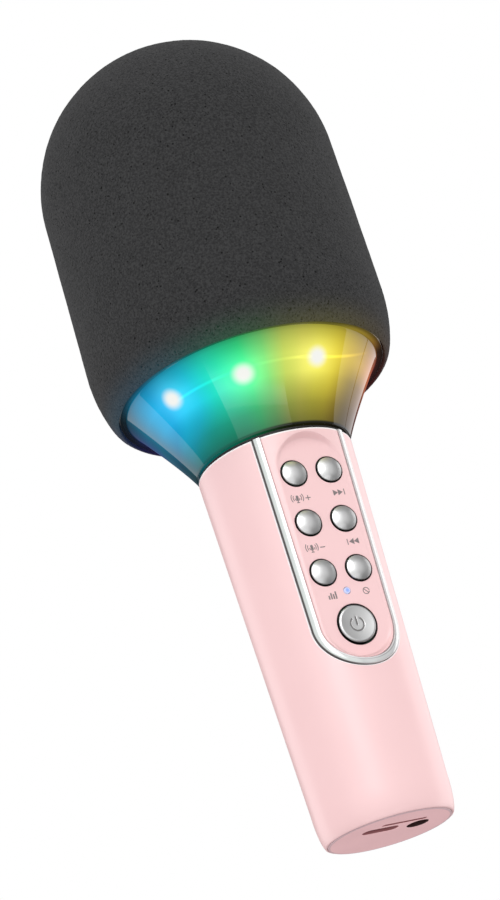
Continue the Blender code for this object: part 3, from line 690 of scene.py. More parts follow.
def trim_recipe():
    """Satin plated band round the panel with fine lines, its light and shade painted in: painted highlight on
    the inner half, painted shade on the greyer outer half, in a grey line and on its left flank, lighter
    towards the right.
    """
    look = Recipe("silver_trim", 0.16)
    across = look.panel_band() + (GAP + TRIM_WIDTH / 2)
    lines = look.noise(3000.0, 2.0, (1.0, 1.0, 0.06))
    # Painted light: the outer half and the flanks are painted lighter towards the band's right.
    right = look.panel_place(0).fade(-0.009, 0.006)
    outer = look.mix(right, (0.7, 0.74, 0.72), grey(0.93))
    tone = look.mix(across.fade(-0.00032, -0.00016), (0.97, 0.97, 0.98), outer)
    tone = look.mix(lines.fade(0.3, 0.7, 0.0, 0.06), tone, grey(0.5))
    # A thin grey line of painted shade along the inner half.
    shade_line = abs(across + 0.00042).fade(0.0002, 0.00006, 0.0, 0.75)
    tone = look.mix(shade_line, tone, (0.5, 0.49, 0.49))
    # Painted shade on the flanks in the gaps: dark on the left and outer side, pale on the right and inner
    # side.
    lit_share = right.most(across.fade(0.0003, -0.0003))
    painted_shade = look.mix(lit_share, (0.1, 0.09, 0.09), (0.74, 0.69, 0.69))
    edge = abs(across).fade(TRIM_WIDTH * 0.42, TRIM_WIDTH * 0.49)
    look.set(Base_Color=look.mix(edge, tone, painted_shade), Metallic=0.55 - edge * 0.4)
    look.bump(lines, 0.000001)
    return look


def cap_recipe():
    """The end cap's plastic, greyer at its rim, with painted shade down its ports, darkest in the jack."""
    look = moulded("cap_shell", *PLASTICS["pink_cap"])
    x, y, height = look.split(look.place)
    radius = look.reach(x, y)
    jack_x, jack_y, jack_r = JACK_PORT
    jack = look.reach(x - jack_x, y - jack_y)
    # Painted shade on the ports' walls, darker further in, and darkest round the jack.
    wall = look.mix(height.fade(0.0004, 0.0016), (0.42, 0.15, 0.16), (0.14, 0.04, 0.044))
    wall = look.mix(jack.fade(jack_r + 0.0008, jack_r + 0.0004), wall, (0.045, 0.01, 0.01))
    tone = look.mix(radius.fade(CAP_R - 0.00065, CAP_R - 0.00025), look.tone, (0.66, 0.45, 0.48))
    # Where the painted shade goes: below the face, away from the rim.
    sunk_shade = height.fade(0.00003, 0.00012) * radius.fade(CAP_R - 0.0008, CAP_R - 0.0012)
    look.set(Base_Color=look.mix(sunk_shade, tone, wall))
    return look


def foam_recipe():
    """Open-cell foam: charcoal with fine and scattered larger pores, and a painted glow from the lit ring
    near its foot.
    """
    look = Recipe("grey_foam", 0.95)
    drift = look.add("VectorMath", {0: look.place, 1: (0.0011, 0.0007, 0.0)}, operation="ADD")
    depth = look.cells(1050.0).fade(0.08, 0.3) * look.cells(2300.0, drift).fade(0.08, 0.35)
    dots = look.cells(640.0, drift).fade(0.12, 0.24).most(look.noise(500.0, 1.0).fade(0.58, 0.48))
    fine = look.noise(1500.0, 3.0)
    worn = look.mix(look.noise(90.0, 3.0).fade(0.3, 0.7), grey(0.94), grey(1.0))
    colour = look.mix(fine.fade(0.34, 0.66), (0.032, 0.032, 0.033), (0.051, 0.051, 0.052))
    colour = look.mix(1.0, colour, worn, "MULTIPLY")
    colour = look.mix(depth.fade(0.0, 1.0, 0.35, 1.0), grey(0.013), colour)
    look.set(Base_Color=look.mix(dots, grey(0.008), colour))
    # The painted glow from the lit ring follows height in the room, so foam that is lifted off loses it.
    height = look.split(look.add("NewGeometry", output="Position"))[2]
    glow_share = height.fade(FOAM_FOOT_Z + 0.013, FOAM_FOOT_Z - 0.004) ** 2.6
    hue = look.ramp(look.azimuth() / TAU + 0.5, GLOW_HUES)
    painted_glow = look.dimmed(hue, glow_share * depth.fade(0.0, 1.0, 0.03, 0.075))
    look.set(Emission_Color=painted_glow, Emission_Strength=1.0)
    look.set(Sheen_Weight=0.05, Sheen_Roughness=0.5, Specular_IOR_Level=0.0)
    look.bump(depth + fine * 0.5, 0.00012)
    return look


def glow_recipe():
    """Smoky glossy shell lit from inside: hues round the ring, brightest near the lights."""
    look = Recipe("smoky_diffuser", 0.04)
    x, y, z = look.split(look.place)
    radius = look.reach(x, y)
    azimuth = look.azimuth()
    ring = azimuth / TAU + 0.5
    cloud = look.noise(70.0, 1.0)

    # Hue round the ring; towards the foot it drifts round from both sides.
    cool = ((0.4 - ring) * 0.66).most(0.0)
    warm = ring.fade(0.46, 0.55, 0.0, 0.022)
    hue = look.ramp(ring + (cool + warm) * z.fade(0.126, 0.1125), GLOW_HUES)

    # Lights: a bright core and a wide halo each, and a thin streak through them.
    pitch = TAU / LED_COUNT
    folded = (azimuth + (pitch / 2 - LED_PHASE)).calc("WRAP", pitch) - pitch / 2
    bright = abs(azimuth - LED_PHASE).fade(pitch * 1.6, pitch * 1.4)
    rise = azimuth.fade(LED_PHASE - pitch, LED_PHASE, 0.0014, -0.0008)
    rise = rise + azimuth.fade(LED_PHASE, LED_PHASE + pitch, 0.0, 0.0012)
    distance = look.reach(folded * radius, (z - LED_Z - rise) * 1.3)
    core = distance.fade(0.0042, 0.0011) * bright
    halo = distance.fade(0.013, 0.0) ** 2.0 * bright
    streak_z = (ring - 0.536).most(0.0) ** 2.0 * 0.415 + (LED_Z + 0.0004)
    streak = abs(z - streak_z).fade(0.0006, 0.0) * look.ramp(ring, STREAK_LEVELS)

    # Brightness up the flare, over its rim and round the ring.
    foot_z, top_z = GLOW_LEVELS[0][0], GLOW_LEVELS[-1][0]
    stops = [((height - foot_z) / (top_z - foot_z), level) for height, level in GLOW_LEVELS]
    rim_level = radius.fade(RIM_R, FLARE_TOP_R + 0.0004, 0.35, 1.0)
    for start, end, first, last in RIM_LEVELS:
        rim_level = rim_level * azimuth.fade(radians(start), radians(end), first, last)
    level = look.ramp((z - foot_z) / (top_z - foot_z), stops)
    level = level * radius.fade(FLARE_TOP_R + 0.0001, FLARE_TOP_R + 0.0004, 1.0, rim_level)
    level = level * cloud.fade(0.3, 0.7, 0.92, 1.04) * (halo * 0.3 + 0.96)
    level = level * ring.fade(0.19, 0.275, 0.25, 1.0).most(ring.fade(0.17, 0.08))
    level = level * (1.0 - z.fade(0.1285, 0.1225) * ring.fade(0.545, 0.62, 0.0, 0.5))
    sealed = z.fade(FLARE_FOOT_Z + 0.0009, FLARE_FOOT_Z + 0.0003)
    level = level * (1.0 - sealed * azimuth.fade(radians(-60.0), radians(-5.0), 0.25, 0.95))

    lit = look.dimmed(hue, level + streak * 0.42)
    lit = look.mix(halo * 0.07, lit, (0.8, 0.95, 0.9))
    lit = look.mix(core, lit, (0.9, 0.9, 0.86))
    look.set(Base_Color=look.mix(cloud, (0.002, 0.003, 0.003), (0.005, 0.006, 0.007)))
    look.set(Emission_Color=lit, Emission_Strength=1.0, IOR=1.5)
    look.set(Roughness=radius.fade(FLARE_TOP_R + 0.0003, FLARE_TOP_R + 0.0008, 0.04, 0.5))
    return look


def board_recipe():
    """Circuit board: green mask over a lattice of copper runs, with tinned pads."""
    look = Recipe("circuit_board", 0.35)
    runs = look.add("TexBrick", {"Vector": look.place, "Scale": 320.0, "Mortar Size": 0.06}, "Fac")
    pads = look.cells(520.0).fade(0.16, 0.12)
    mask = look.mix(runs, (0.012, 0.11, 0.045), (0.03, 0.21, 0.085))
    look.set(Base_Color=look.mix(pads, mask, (0.55, 0.52, 0.42)), Metallic=pads * 0.7)
    look.bump(runs + pads, 0.00003)
    return look


def lamp_recipe(colour, edge):
    """A lit lens with cloudy patches of a second colour."""
    look = Recipe("light_source", 0.25)
    cloud = look.noise(900.0, 2.0)
    look.set(Base_Color=look.mix(cloud, shade(colour, 0.8), colour))
    look.set(Emission_Color=look.mix(cloud.fade(0.35, 0.65), edge, colour), Emission_Strength=1.0)
    look.bump(cloud, 0.00002)
    return look


def indicator_recipe():
    """A small lamp: pale lens with a blue middle."""
    look = Recipe("indicator_light", 0.25)
    out = look.reach(look.panel_place(0), look.panel_place(1) - INDICATOR_Y)
    middle = out.fade(INDICATOR_R * 0.85, INDICATOR_R * 0.35)
    cloud = look.noise(900.0, 2.0)
    look.set(Base_Color=look.mix(cloud, (0.3, 0.34, 0.5), (0.34, 0.38, 0.54)), Emission_Strength=0.55)
    look.set(Emission_Color=look.mix(middle, (0.66, 0.7, 0.98), (0.04, 0.22, 0.85)))
    look.bump(cloud, 0.00002)
    return look


def paper_recipe():
    """Pressed paper cone: fibres and faint rings."""
    look = Recipe("speaker_paper", 0.85)
    x, y, _ = look.split(look.place)
    rings = (look.reach(x, y) * 5200.0).calc("SINE")
    fibres = look.noise(1400.0, 4.0)
    look.set(Base_Color=look.mix(fibres, (0.03, 0.03, 0.032), (0.07, 0.07, 0.072)))
    look.bump(fibres + rings * 0.3, 0.00008)
    return look


def ink_material(colour):
    look = Recipe("printed_ink", 0.55)
    grain = look.noise(1800.0, 2.0)
    look.set(Base_Color=look.mix(grain, shade(colour, 0.74), colour))
    look.bump(grain, 0.000006)
    return look.material


def make_finishes():
    """One material for each of the record's material slots."""
    made = [trim_recipe(), indicator_recipe(), foam_recipe(), glow_recipe(), board_recipe(), paper_recipe()]
    made.append(moulded("pink_shell", PINK, 0.33, 0.000006, 0.015, 1.0, edge_highlights=True))
    made.append(metal("silver_button", grey(0.9), 0.38, scratch=0.0000006, painted_shade=key_flank_shade))
    made.append(lamp_recipe((1.0, 1.0, 0.95), (0.95, 0.9, 0.65)))
    made += [moulded(slot, *values) for slot, values in PLASTICS.items()]
    made += [metal(slot, *values) for slot, values in METALS.items()]
    return {look.name: look.material for look in made}


FINISHES = make_finishes()


def dress(obj, slot, body, *nodes, material=None):
    """Gives a piece its finish, by its slot unless a material is given, puts it on its body and hides the CAD
    nodes that it stands for.
    """
    obj.data.materials.clear()
    obj.data.materials.append(material or FINISHES[slot])
    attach(obj, body)
    if nodes:
        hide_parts(*nodes)


def dress_frame():
    """Finishes for the CAD nodes that stay."""
    for row in frame["record"]["subparts"]:
        node = frame["nodes"][row["node"]]
        node.data.materials.clear()
        node.data.materials.append(FINISHES[row["material_slot"]])


# ---------------- handle


def build_sleeve():
    """The handle's sleeve, drawn flat as (turn times a mean radius, distance down the side) and rolled up."""
    mean_r = 0.021
    heights = [HANDLE_TOP_Z, FOOT_CURVE_Z]
    heights += [FOOT_CURVE_Z * (1.0 - sin(radians(a))) for a in range(6, 78, 6)] + [SLEEVE_FOOT_Z]
    profile = dense([(handle_radius(z), z) for z in heights], 0.0012)
    travel = [0.0]
    for start, end in zip(profile, profile[1:]):
        travel.append(travel[-1] + dist(start, end))
    radii = [r for r, _ in profile]
    levels = [z for _, z in profile]
    length = travel[-1]
    side = pi * mean_r

    def unrolled(point):
        x, y = point
        spot = on_panel(x, y, cone_height(x, y))
        turn = atan2(spot.x, -spot.y)
        return (turn * mean_r, -(HANDLE_TOP_Z - spot.z) * hypot(1.0, TAPER))

    round_r = 0.00022
    opening = [unrolled(point) for point in panel_opening(0.0)]
    opening[0] = (opening[0][0], 0.0)
    opening[-1] = (opening[-1][0], 0.0)
    top_right = dense([(side, 0.0), opening[0]], 0.0014)[:-1]
    top_left = dense([opening[-1], (-side, 0.0)], 0.0014)[1:]
    left_side = dense([(-side, 0.0), (-side, -length)], 0.0014)[1:]
    foot = dense([(-side, -length), (side, -length)], 0.001)[1:]
    right_side = [(side, v) for _, v in left_side[::-1]][1:]
    outline = top_right + opening + top_left + left_side + foot + right_side
    rings = [[unrolled(point) for point in panel_opening(-d)] for d in offsets(round_r)]
    rings += [dense([(-side, -d), (side, -d)], 0.001) for d in offsets(round_r)]
    rings += [dense([(-side, d - length), (side, d - length)], 0.001) for d in offsets(round_r)]
    points, faces = cut_sheet(outline, [], 0.0014, rings)
    bare = opening + [(-side, 0.0), (-side, 0.001), (side, 0.001), (side, 0.0)]
    base = [(-side, -length), (side, -length), (side, -length - 0.001)]
    drops = edge_drops(points, [bare, base], round_r)

    def rolled(u, v, inset):
        turn = u / mean_r
        radius = np.interp(-v, travel, radii) - inset
        return (radius * sin(turn), -radius * cos(turn), np.interp(-v, travel, levels))

    def inner(u, v):
        radius = np.interp(-v, travel, radii)
        wall = min(SLEEVE_WALL, max(radius - SLEEVE_BORE_R, 0.0002))
        return rolled(u, v, max(wall, 0.0002 + drops[(u, v)]))

    sleeve = thickened("sleeve", points, faces, lambda u, v: rolled(u, v, drops[(u, v)]), inner)
    dress(sleeve, "pink_shell", "body", "handle_sleeve")


def build_trim():
    """The bright band round the panel, with softly rounded shoulders."""
    half = TRIM_WIDTH / 2
    section = [(-half, -0.002), (-half, 0.00012), (-half * 0.93, 0.00026), (-half * 0.72, 0.00034)]
    section += [(-half * 0.35, 0.00037), (0.0, 0.00038)]
    section += [(-w, h) for w, h in section[-2::-1]]
    # The flanks stand a little way into the gaps beside the band.
    inner, outer = 0.00014, -0.00008
    section = [(w + (inner if w > half * 0.9 else outer if w < -half * 0.9 else 0.0), h) for w, h in section]
    shape = bmesh.new()
    lines = [panel_opening(GAP + half + w) for w, _ in section]
    rows = []
    for line, (_, height) in zip(lines, section):
        row = []
        for x, y in line:
            y = min(y, panel_top(x))
            row.append(shape.verts.new(on_panel(x, y, cone_height(x, y) + height)))
        rows.append(row)
    for first, second in zip(rows, rows[1:] + rows[:1]):
        for i in range(len(first) - 1):
            shape.faces.new([first[i], first[i + 1], second[i + 1], second[i]])
    shape.faces.new([row[0] for row in rows])
    shape.faces.new([row[-1] for row in rows[::-1]])
    dress(finish_mesh("trim_band", shape), "silver_trim", "body", "panel_trim")


def recess_share(x, y):
    """How far a point of the panel is in the recess: 0 outside, 1 on its floor, soft at the border."""
    soft = 0.0007
    spine = min(max(y, 0.0), RECESS_LENGTH)
    edge = RECESS_R - hypot(x, y - spine)
    return smooth(edge / soft * 0.5 + 0.5)


def build_panel():
    """The control panel: flush with the handle outside, with a flat recess that holds the buttons."""
    inset = 2 * GAP + TRIM_WIDTH
    outline = [(x, min(y, panel_top(x))) for x, y in panel_opening(inset)]
    top = dense([outline[-1], outline[0]], 0.0012)[1:-1]
    outline += [(x, panel_top(x)) for x, _ in top]
    holes = []
    rims = []
    spots = [(side * BUTTON_X, y, BUTTON_R + HOLE_CLEAR, 40) for y in BUTTON_ROWS for side in (-1, 1)]
    spots.append((POWER_HOLE_X, POWER_Y, POWER_HOLE_R, 56))
    spots.append((0.0, INDICATOR_Y, INDICATOR_R + 0.0001, 24))
    round_r = 0.00025
    for x, y, radius, count in spots:
        holes.append(circle(x, y, radius, count))
        rims += [circle(x, y, radius + d, count) for d in offsets(round_r)]
    rims += [[(x, min(y, panel_top(x))) for x, y in panel_opening(inset + d)] for d in offsets(round_r)]
    rims += [[(x, panel_top(x) - d) for x, _ in top] for d in offsets(round_r)]
    for shift in (-0.0008, -0.0005, -0.0002, 0.0, 0.0002, 0.0005, 0.0008):
        radius = RECESS_R + shift
        border = arc(0.0, RECESS_LENGTH, radius, 0.0, pi, 48) + arc(0.0, 0.0, radius, pi, TAU, 48)
        rims.append(dense(border, 0.0007, closed=True))
    points, faces = cut_sheet(outline, holes, 0.0011, rims)
    drops = edge_drops(points, [outline] + holes, round_r)

    def front(x, y):
        height = cone_height(x, y)
        share = recess_share(x, y)
        height = height * (1.0 - share) if height > 0.0 else height
        return on_panel(x, y, height - drops[(x, y)])

    finish = moulded("panel_shell", PINK, 0.38, 0.000006, 0.015, 0.8, hole_shade=True, edge_highlights=True).material
    panel = thickened("panel", points, faces, front, lambda x, y: on_panel(x, y, -PANEL_THICK))
    panel.visible_glossy = False
    dress(panel, "pink_shell", "body", "control_panel", material=finish)


def power_groove(x, y):
    """Depth of the engraved power sign at (x, y): an open ring with a bar through its gap."""
    width = 0.00017
    ring = abs(hypot(x, y) - SIGN_R)
    if abs(atan2(x, y)) < SIGN_GAP:
        ring = hypot(abs(x) - SIGN_R * sin(SIGN_GAP), y - SIGN_R * cos(SIGN_GAP))
    stem = hypot(x, y - min(max(y, SIGN_STEM[0]), SIGN_STEM[1]))
    return 0.00008 * (1.0 - smooth((min(ring, stem) - width) / 0.00012))


def build_buttons():
    """Domed caps with a turned-down edge; the power cap is dished, and its engraved sign is inked."""
    radius = BUTTON_R
    edge = 0.0003
    rise = 0.0005
    profile = [((radius - edge) * i / 14, rise + 0.001 * (1.0 - (i / 14) ** 2.2)) for i in range(15)]
    profile += [(radius - edge * 0.55, rise - 0.00006), (radius - edge * 0.18, rise - 0.0002)]
    profile += [(radius, rise - 0.00045), (radius, KEY_FOOT), (0.0, KEY_FOOT)]
    for row, pair in zip(BUTTON_ROWS, BUTTON_NAMES):
        for side, label in zip((-1, 1), pair):
            cap = turned(f"cap_{label}", profile, 72, seat(side * BUTTON_X, row))
            dress(cap, "silver_button", f"key_{label}", f"button_{label}")

    radius = POWER_R
    face = radius - 0.00065
    profile = [(face * i / 52, 0.0002 + 0.00055 * (i / 52) ** 2) for i in range(53)]
    profile += [(face + 0.00008, 0.00076), (face + 0.00026, 0.00068), (radius - 0.00009, 0.00048)]
    profile += [(radius - 0.00002, 0.00034), (radius, 0.00018), (radius, KEY_FOOT), (0.0, KEY_FOOT)]

    def engraved(spot):
        if spot.z > 0.0001 and spot.xy.length < face:
            spot.z -= power_groove(spot.x, spot.y)
        return spot

    cap = turned("cap_power", profile, 144, seat(0.0, POWER_Y), engraved)
    dress(cap, "silver_button", "key_power", "button_power")
    ring = stroke(arc(0.0, 0.0, SIGN_R, pi / 2 + SIGN_GAP, TAU + pi / 2 - SIGN_GAP, 40), 0.00036)
    stem = stroke([(0.0, y) for y in SIGN_STEM], 0.00034)
    sign = inlay("power_sign", [ring, stem], seat(0.0, POWER_Y), 0.00018, 0.0003)
    dress(sign, "black_plastic", "key_power", material=ink_material((0.2, 0.19, 0.19)))


def build_indicator():
    """A small lit lens that stands a little proud in its hole."""
    turns = (0.0, 0.4, 0.8, 1.1, 1.35, 1.57)
    profile = [(INDICATOR_R * sin(a), 0.0001 + 0.0002 * cos(a)) for a in turns]
    profile += [(INDICATOR_R, KEY_FOOT), (0.0, KEY_FOOT)]
    lens = turned("indicator", profile, 32, seat(0.0, INDICATOR_Y))
    dress(lens, "indicator_light", "body", "indicator_lens")


def stroke(points, width):
    """Outline of a line of that width through points."""
    left = []
    right = []
    for i, point in enumerate(points):
        before = Vector(points[max(i - 1, 0)])
        after = Vector(points[min(i + 1, len(points) - 1)])
        along = (after - before).normalized()
        across = Vector((-along.y, along.x)) * width / 2
        left.append(tuple(Vector(point) + across))
        right.append(tuple(Vector(point) - across))
    return left + right[::-1]


def inlay(name, outlines, frame_matrix, low_z, high_z):
    """Thin closed plates with those outlines, between two heights of a frame."""
    shape = bmesh.new()
    for outline in outlines:
        low = [shape.verts.new(frame_matrix @ Vector((x, y, low_z))) for x, y in outline]
        high = [shape.verts.new(frame_matrix @ Vector((x, y, high_z))) for x, y in outline]
        shape.faces.new(low[::-1])
        shape.faces.new(high)
        for i in range(len(outline)):
            j = (i + 1) % len(outline)
            shape.faces.new([low[i], low[j], high[j], high[i]])
    return finish_mesh(name, shape)


def bar(x, y, width, height):
    corners = ((-1, -1), (1, -1), (1, 1), (-1, 1))
    return [(x + i * width / 2, y + j * height / 2) for i, j in corners]


def microphone_sign(x, y):
    """A small microphone, its head, yoke and stem, between two pairs of sound waves."""
    line = 0.00022
    head = [(x - b, y + 0.00042 + a) for a, b in wide_slot(0.0, 0.0, 0.0014, 0.00078, 6)]
    yoke = stroke(arc(x, y + 0.0003, 0.00072, pi, TAU, 12), line)
    stem = stroke([(x, y - 0.0004), (x, y - 0.001)], line)
    foot = stroke([(x - 0.00044, y - 0.00102), (x + 0.00044, y - 0.00102)], line)
    waves = []
    for side in (-1, 1):
        for radius in (0.00125, 0.00185):
            turn = 0.0 if side > 0 else pi
            waves.append(stroke(arc(x, y + 0.00035, radius, turn - 0.62, turn + 0.62, 10), line))
    return [head, yoke, stem, foot] + waves


def skip_sign(x, y, side):
    """Two arrowheads and a bar, pointing to that side."""
    size = 0.00088
    shapes = []
    for start in (-0.00165, -0.00018):
        tip = start + 0.00147
        shapes.append([(x + side * start, y - size), (x + side * tip, y), (x + side * start, y + size)])
    return shapes + [bar(x + side * 0.00175, y, 0.00024, 2 * size)]


def build_signs():
    """Signs printed beside the keys, as thin raised ink."""
    outlines = microphone_sign(-0.0066, 0.0373)
    outlines += [bar(-0.0034, 0.0374, 0.0015, 0.00026), bar(-0.0034, 0.0374, 0.00026, 0.0015)]
    outlines += microphone_sign(-0.0066, 0.0225) + [bar(-0.0034, 0.0226, 0.0015, 0.00026)]
    outlines += skip_sign(0.0062, 0.0379, 1) + skip_sign(0.0062, 0.0231, -1)
    for offset, height in ((-0.00105, 0.0011), (-0.00035, 0.0018), (0.00035, 0.0014), (0.00105, 0.0021)):
        outlines.append(bar(-0.0047 + offset, 0.0074 + height / 2, 0.00042, height))
    outlines.append(stroke(arc(0.0056, 0.0085, 0.0009, 0.0, TAU, 28)[:-1], 0.00022))
    outlines.append(stroke([(0.00498, 0.00912), (0.00622, 0.00788)], 0.00022))
    signs = inlay("printed_signs", outlines, PANEL_FRAME, 0.000005, 0.00004)
    dress(signs, "black_plastic", "body", material=ink_material((0.27, 0.225, 0.225)))


def build_end_cap():
    """The end cap's plate with softened port mouths."""
    plate_r = CAP_R + 0.00013
    outline = circle(0.0, 0.0, plate_r, 128)
    jack_x, jack_y, jack_r = JACK_PORT
    holes = [wide_slot(*USB_PORT, 12), wide_slot(*CARD_PORT, 8), circle(jack_x, jack_y, jack_r, 40)]
    holes = [dense(holes[0], 0.0008, closed=True), dense(holes[1], 0.0008, closed=True), holes[2]]
    round_r = 0.00015
    rings = [circle(0.0, 0.0, plate_r - d, 128) for d in offsets(round_r)]
    for d in offsets(round_r):
        for x, y, width, height in (USB_PORT, CARD_PORT):
            rings.append(dense(wide_slot(x, y, width + 2 * d, height + 2 * d, 12), 0.0008, closed=True))
        rings.append(circle(jack_x, jack_y, jack_r + d, 40))
    points, faces = cut_sheet(outline, holes, 0.001, rings)
    drops = edge_drops(points, [outline] + holes, round_r)

    surfaces = (lambda x, y: (x, y, drops[(x, y)]), lambda x, y: (x, y, CAP_THICK))
    plate = thickened("cap_plate", points, faces, *surfaces)
    dress(plate, "pink_cap", "body", "end_cap", material=cap_recipe().material)


# ---------------- neck and head


def build_gasket():
    foot = HANDLE_TOP_Z + GAP
    section = [(GASKET_R - 0.0016, foot + 0.0007), (GASKET_R, foot + 0.0007)]
    section += [(GASKET_R, foot), (GASKET_R - 0.0016, foot)]
    dress(turned("gasket_ring", rounded(section, 0.0002), 160), "black_rubber", "body", "neck_gasket")


def build_diffuser():
    heights = [FLARE_TOP_Z - (FLARE_TOP_Z - FLARE_FOOT_Z) * i / 40 for i in range(41)]
    outer = [(flare_radius(z), z) for z in heights]
    inner = [(r - FLARE_WALL, z) for r, z in outer]
    rim_bore = RIM_R - FLARE_WALL
    rim = [(rim_bore, RIM_TOP_Z), (RIM_R, RIM_TOP_Z), (RIM_R, FLARE_TOP_Z)]
    section = rounded(rim + outer + inner[::-1] + [(rim_bore, FLARE_TOP_Z + FLARE_WALL)], 0.00015)
    shell = turned("light_shell", section, 224, sharp=50.0)
    shell.visible_glossy = False
    dress(shell, "smoky_diffuser", "body", "diffuser")


def dome(radius, foot_z, height, count):
    """Points of a dome's outline from its top down to its widest ring."""
    angles = [pi / 2 * (1.0 - i / count) for i in range(count + 1)]
    points = [(radius * cos(a), foot_z + height * sin(a)) for a in angles]
    points[0] = (0.0, foot_z + height)
    return points


def build_cage():
    """The slotted cage under the foam, drawn flat as (turn times radius, distance up) and rolled up."""
    half = pi * CAGE_R
    straight = HEAD_CENTRE_Z - CAGE_FOOT_Z
    top = straight + CAGE_R * radians(88.0)
    pitch = TAU / CAGE_SLOTS
    round_r = 0.00035

    def sides(low, high, reach, steps):
        """Outline between two distances up the wall, reach(v) to each side of its middle."""
        levels = [low + (high - low) * i / steps for i in range(steps + 1)]
        return [(reach(v), v) for v in levels] + [(-reach(v), v) for v in levels[::-1]]

    def crown_reach(v):
        return CAGE_R * asin(CAGE_CROWN_HALF / (CAGE_R * cos((v - straight) / CAGE_R)))

    crown = straight + CAGE_R * radians(32.0)
    rows = [(low - CAGE_FOOT_Z, high - CAGE_FOOT_Z) for low, high in CAGE_ROWS]
    shapes = [sides(low, high, lambda v: CAGE_SLOT_HALF, 1) for low, high in rows]
    shapes.append(sides(crown - 0.011, crown + 0.011, crown_reach, 8))
    holes = []
    for k in range(CAGE_SLOTS):
        middle = (k + 0.5) * pitch * CAGE_R - half
        for shape in shapes:
            hole = dense(rounded(shape, 0.0012), 0.0016, closed=True)
            holes.append([(middle + u, v) for u, v in hole])
    foot = dense([(-half, 0.0), (half, 0.0)], 0.0016)
    right_side = dense([(half, 0.0), (half, top)], 0.0016)[1:]
    left_side = [(-half, v) for _, v in right_side[::-1]]
    crown_edge = [(-u, top) for u, _ in foot[1:-1]]
    outline = foot + right_side + crown_edge + left_side
    rings = []
    for hole in holes:
        centre = np.mean(hole, axis=0)
        for d in offsets(round_r):
            rings.append([tuple(centre + (np.array(p) - centre) * (1.0 + d / 0.0055)) for p in hole])
    points, faces = cut_sheet(outline, holes, 0.0022, rings)
    drops = edge_drops(points, holes, round_r)

    def place(u, v, inset):
        turn = u / CAGE_R + pitch / 2
        lift = max(v - straight, 0.0) / CAGE_R
        radius = (CAGE_R - inset) * cos(lift)
        z = CAGE_FOOT_Z + min(v, straight) + (CAGE_R - inset) * sin(lift)
        return (radius * sin(turn), -radius * cos(turn), z)

    surfaces = (lambda u, v: place(u, v, drops[(u, v)]), lambda u, v: place(u, v, CAGE_WALL))
    dress(thickened("cage", points, faces, *surfaces), "black_plastic", "body", "head_cage")


def build_foam():
    """The foam windscreen, with a slightly uneven skin."""
    shell = dome(FOAM_R, HEAD_CENTRE_Z, FOAM_TOP_Z - HEAD_CENTRE_Z, 72)
    side = [(FOAM_R, HEAD_CENTRE_Z + (FOAM_CURVE_Z - HEAD_CENTRE_Z) * i / 52) for i in range(1, 52)]
    reach = FOAM_R - FOAM_FOOT_R
    drop = FOAM_CURVE_Z - FOAM_FOOT_Z
    curl = []
    for i in range(41):
        a = pi / 2 * i / 40
        across = max(cos(a), 0.0) ** FOAM_CURVE_POWER
        down = sin(a) ** FOAM_CURVE_POWER
        curl.append((FOAM_FOOT_R + reach * across, FOAM_CURVE_Z - drop * down))
    bore = dome(FOAM_BORE_R, HEAD_CENTRE_Z, FOAM_BORE_R, 20)[::-1]
    well = [(FOAM_BORE_R, FOAM_FOOT_Z + (HEAD_CENTRE_Z - FOAM_FOOT_Z) * i / 20) for i in range(20)]
    profile = shell + side + curl + well + bore

    def uneven(spot):
        flat = Vector((spot.x, spot.y, 0.0))
        if flat.length < 0.0406 and spot.z < HEAD_CENTRE_Z:
            return spot
        outward = (spot - Vector((0.0, 0.0, min(spot.z, HEAD_CENTRE_Z)))).normalized()
        fine = noise.noise(spot * 900.0) * 0.00006
        broad = noise.noise(spot * 110.0) * 0.0001
        return spot + outward * (fine + broad - 0.00006)

    foam = turned("foam_ball", profile, 320, wobble=uneven, sharp=80.0)
    foam.visible_glossy = False
    dress(foam, "grey_foam", "windscreen", "foam_windscreen")


# ---------------- room, lights and camera


def direction(azimuth, elevation):
    """Unit vector for degrees round the object from -Y towards +X, and degrees above the horizon."""
    a = radians(azimuth)
    e = radians(elevation)
    return Vector((sin(a) * cos(e), -cos(a) * cos(e), sin(e)))


def build_camera(centre):
    back = direction(CAMERA_AZIMUTH, CAMERA_ELEVATION)
    level = (-back).cross(Vector((0.0, 0.0, 1.0))).normalized()
    upright = level.cross(-back)
    up = upright * cos(CAMERA_ROLL) + level * sin(CAMERA_ROLL)
    right = level * cos(CAMERA_ROLL) - upright * sin(CAMERA_ROLL)
    aim_x, aim_y = CAMERA_AIM
    spot = centre + back * CAMERA_DISTANCE
    away = (spot - centre - right * aim_x - up * aim_y).normalized()
    side = up.cross(away).normalized()
    camera = bpy.data.objects.new("camera", bpy.data.cameras.new("camera"))
    bpy.context.scene.collection.objects.link(camera)
    turn = Matrix((side, away.cross(side), away)).transposed().to_4x4()
    camera.matrix_world = Matrix.Translation(spot) @ turn
    camera.data.lens = CAMERA_LENS
    camera.data.sensor_width = 36.0
    camera.data.clip_start = 0.01
    bpy.context.scene.camera = camera


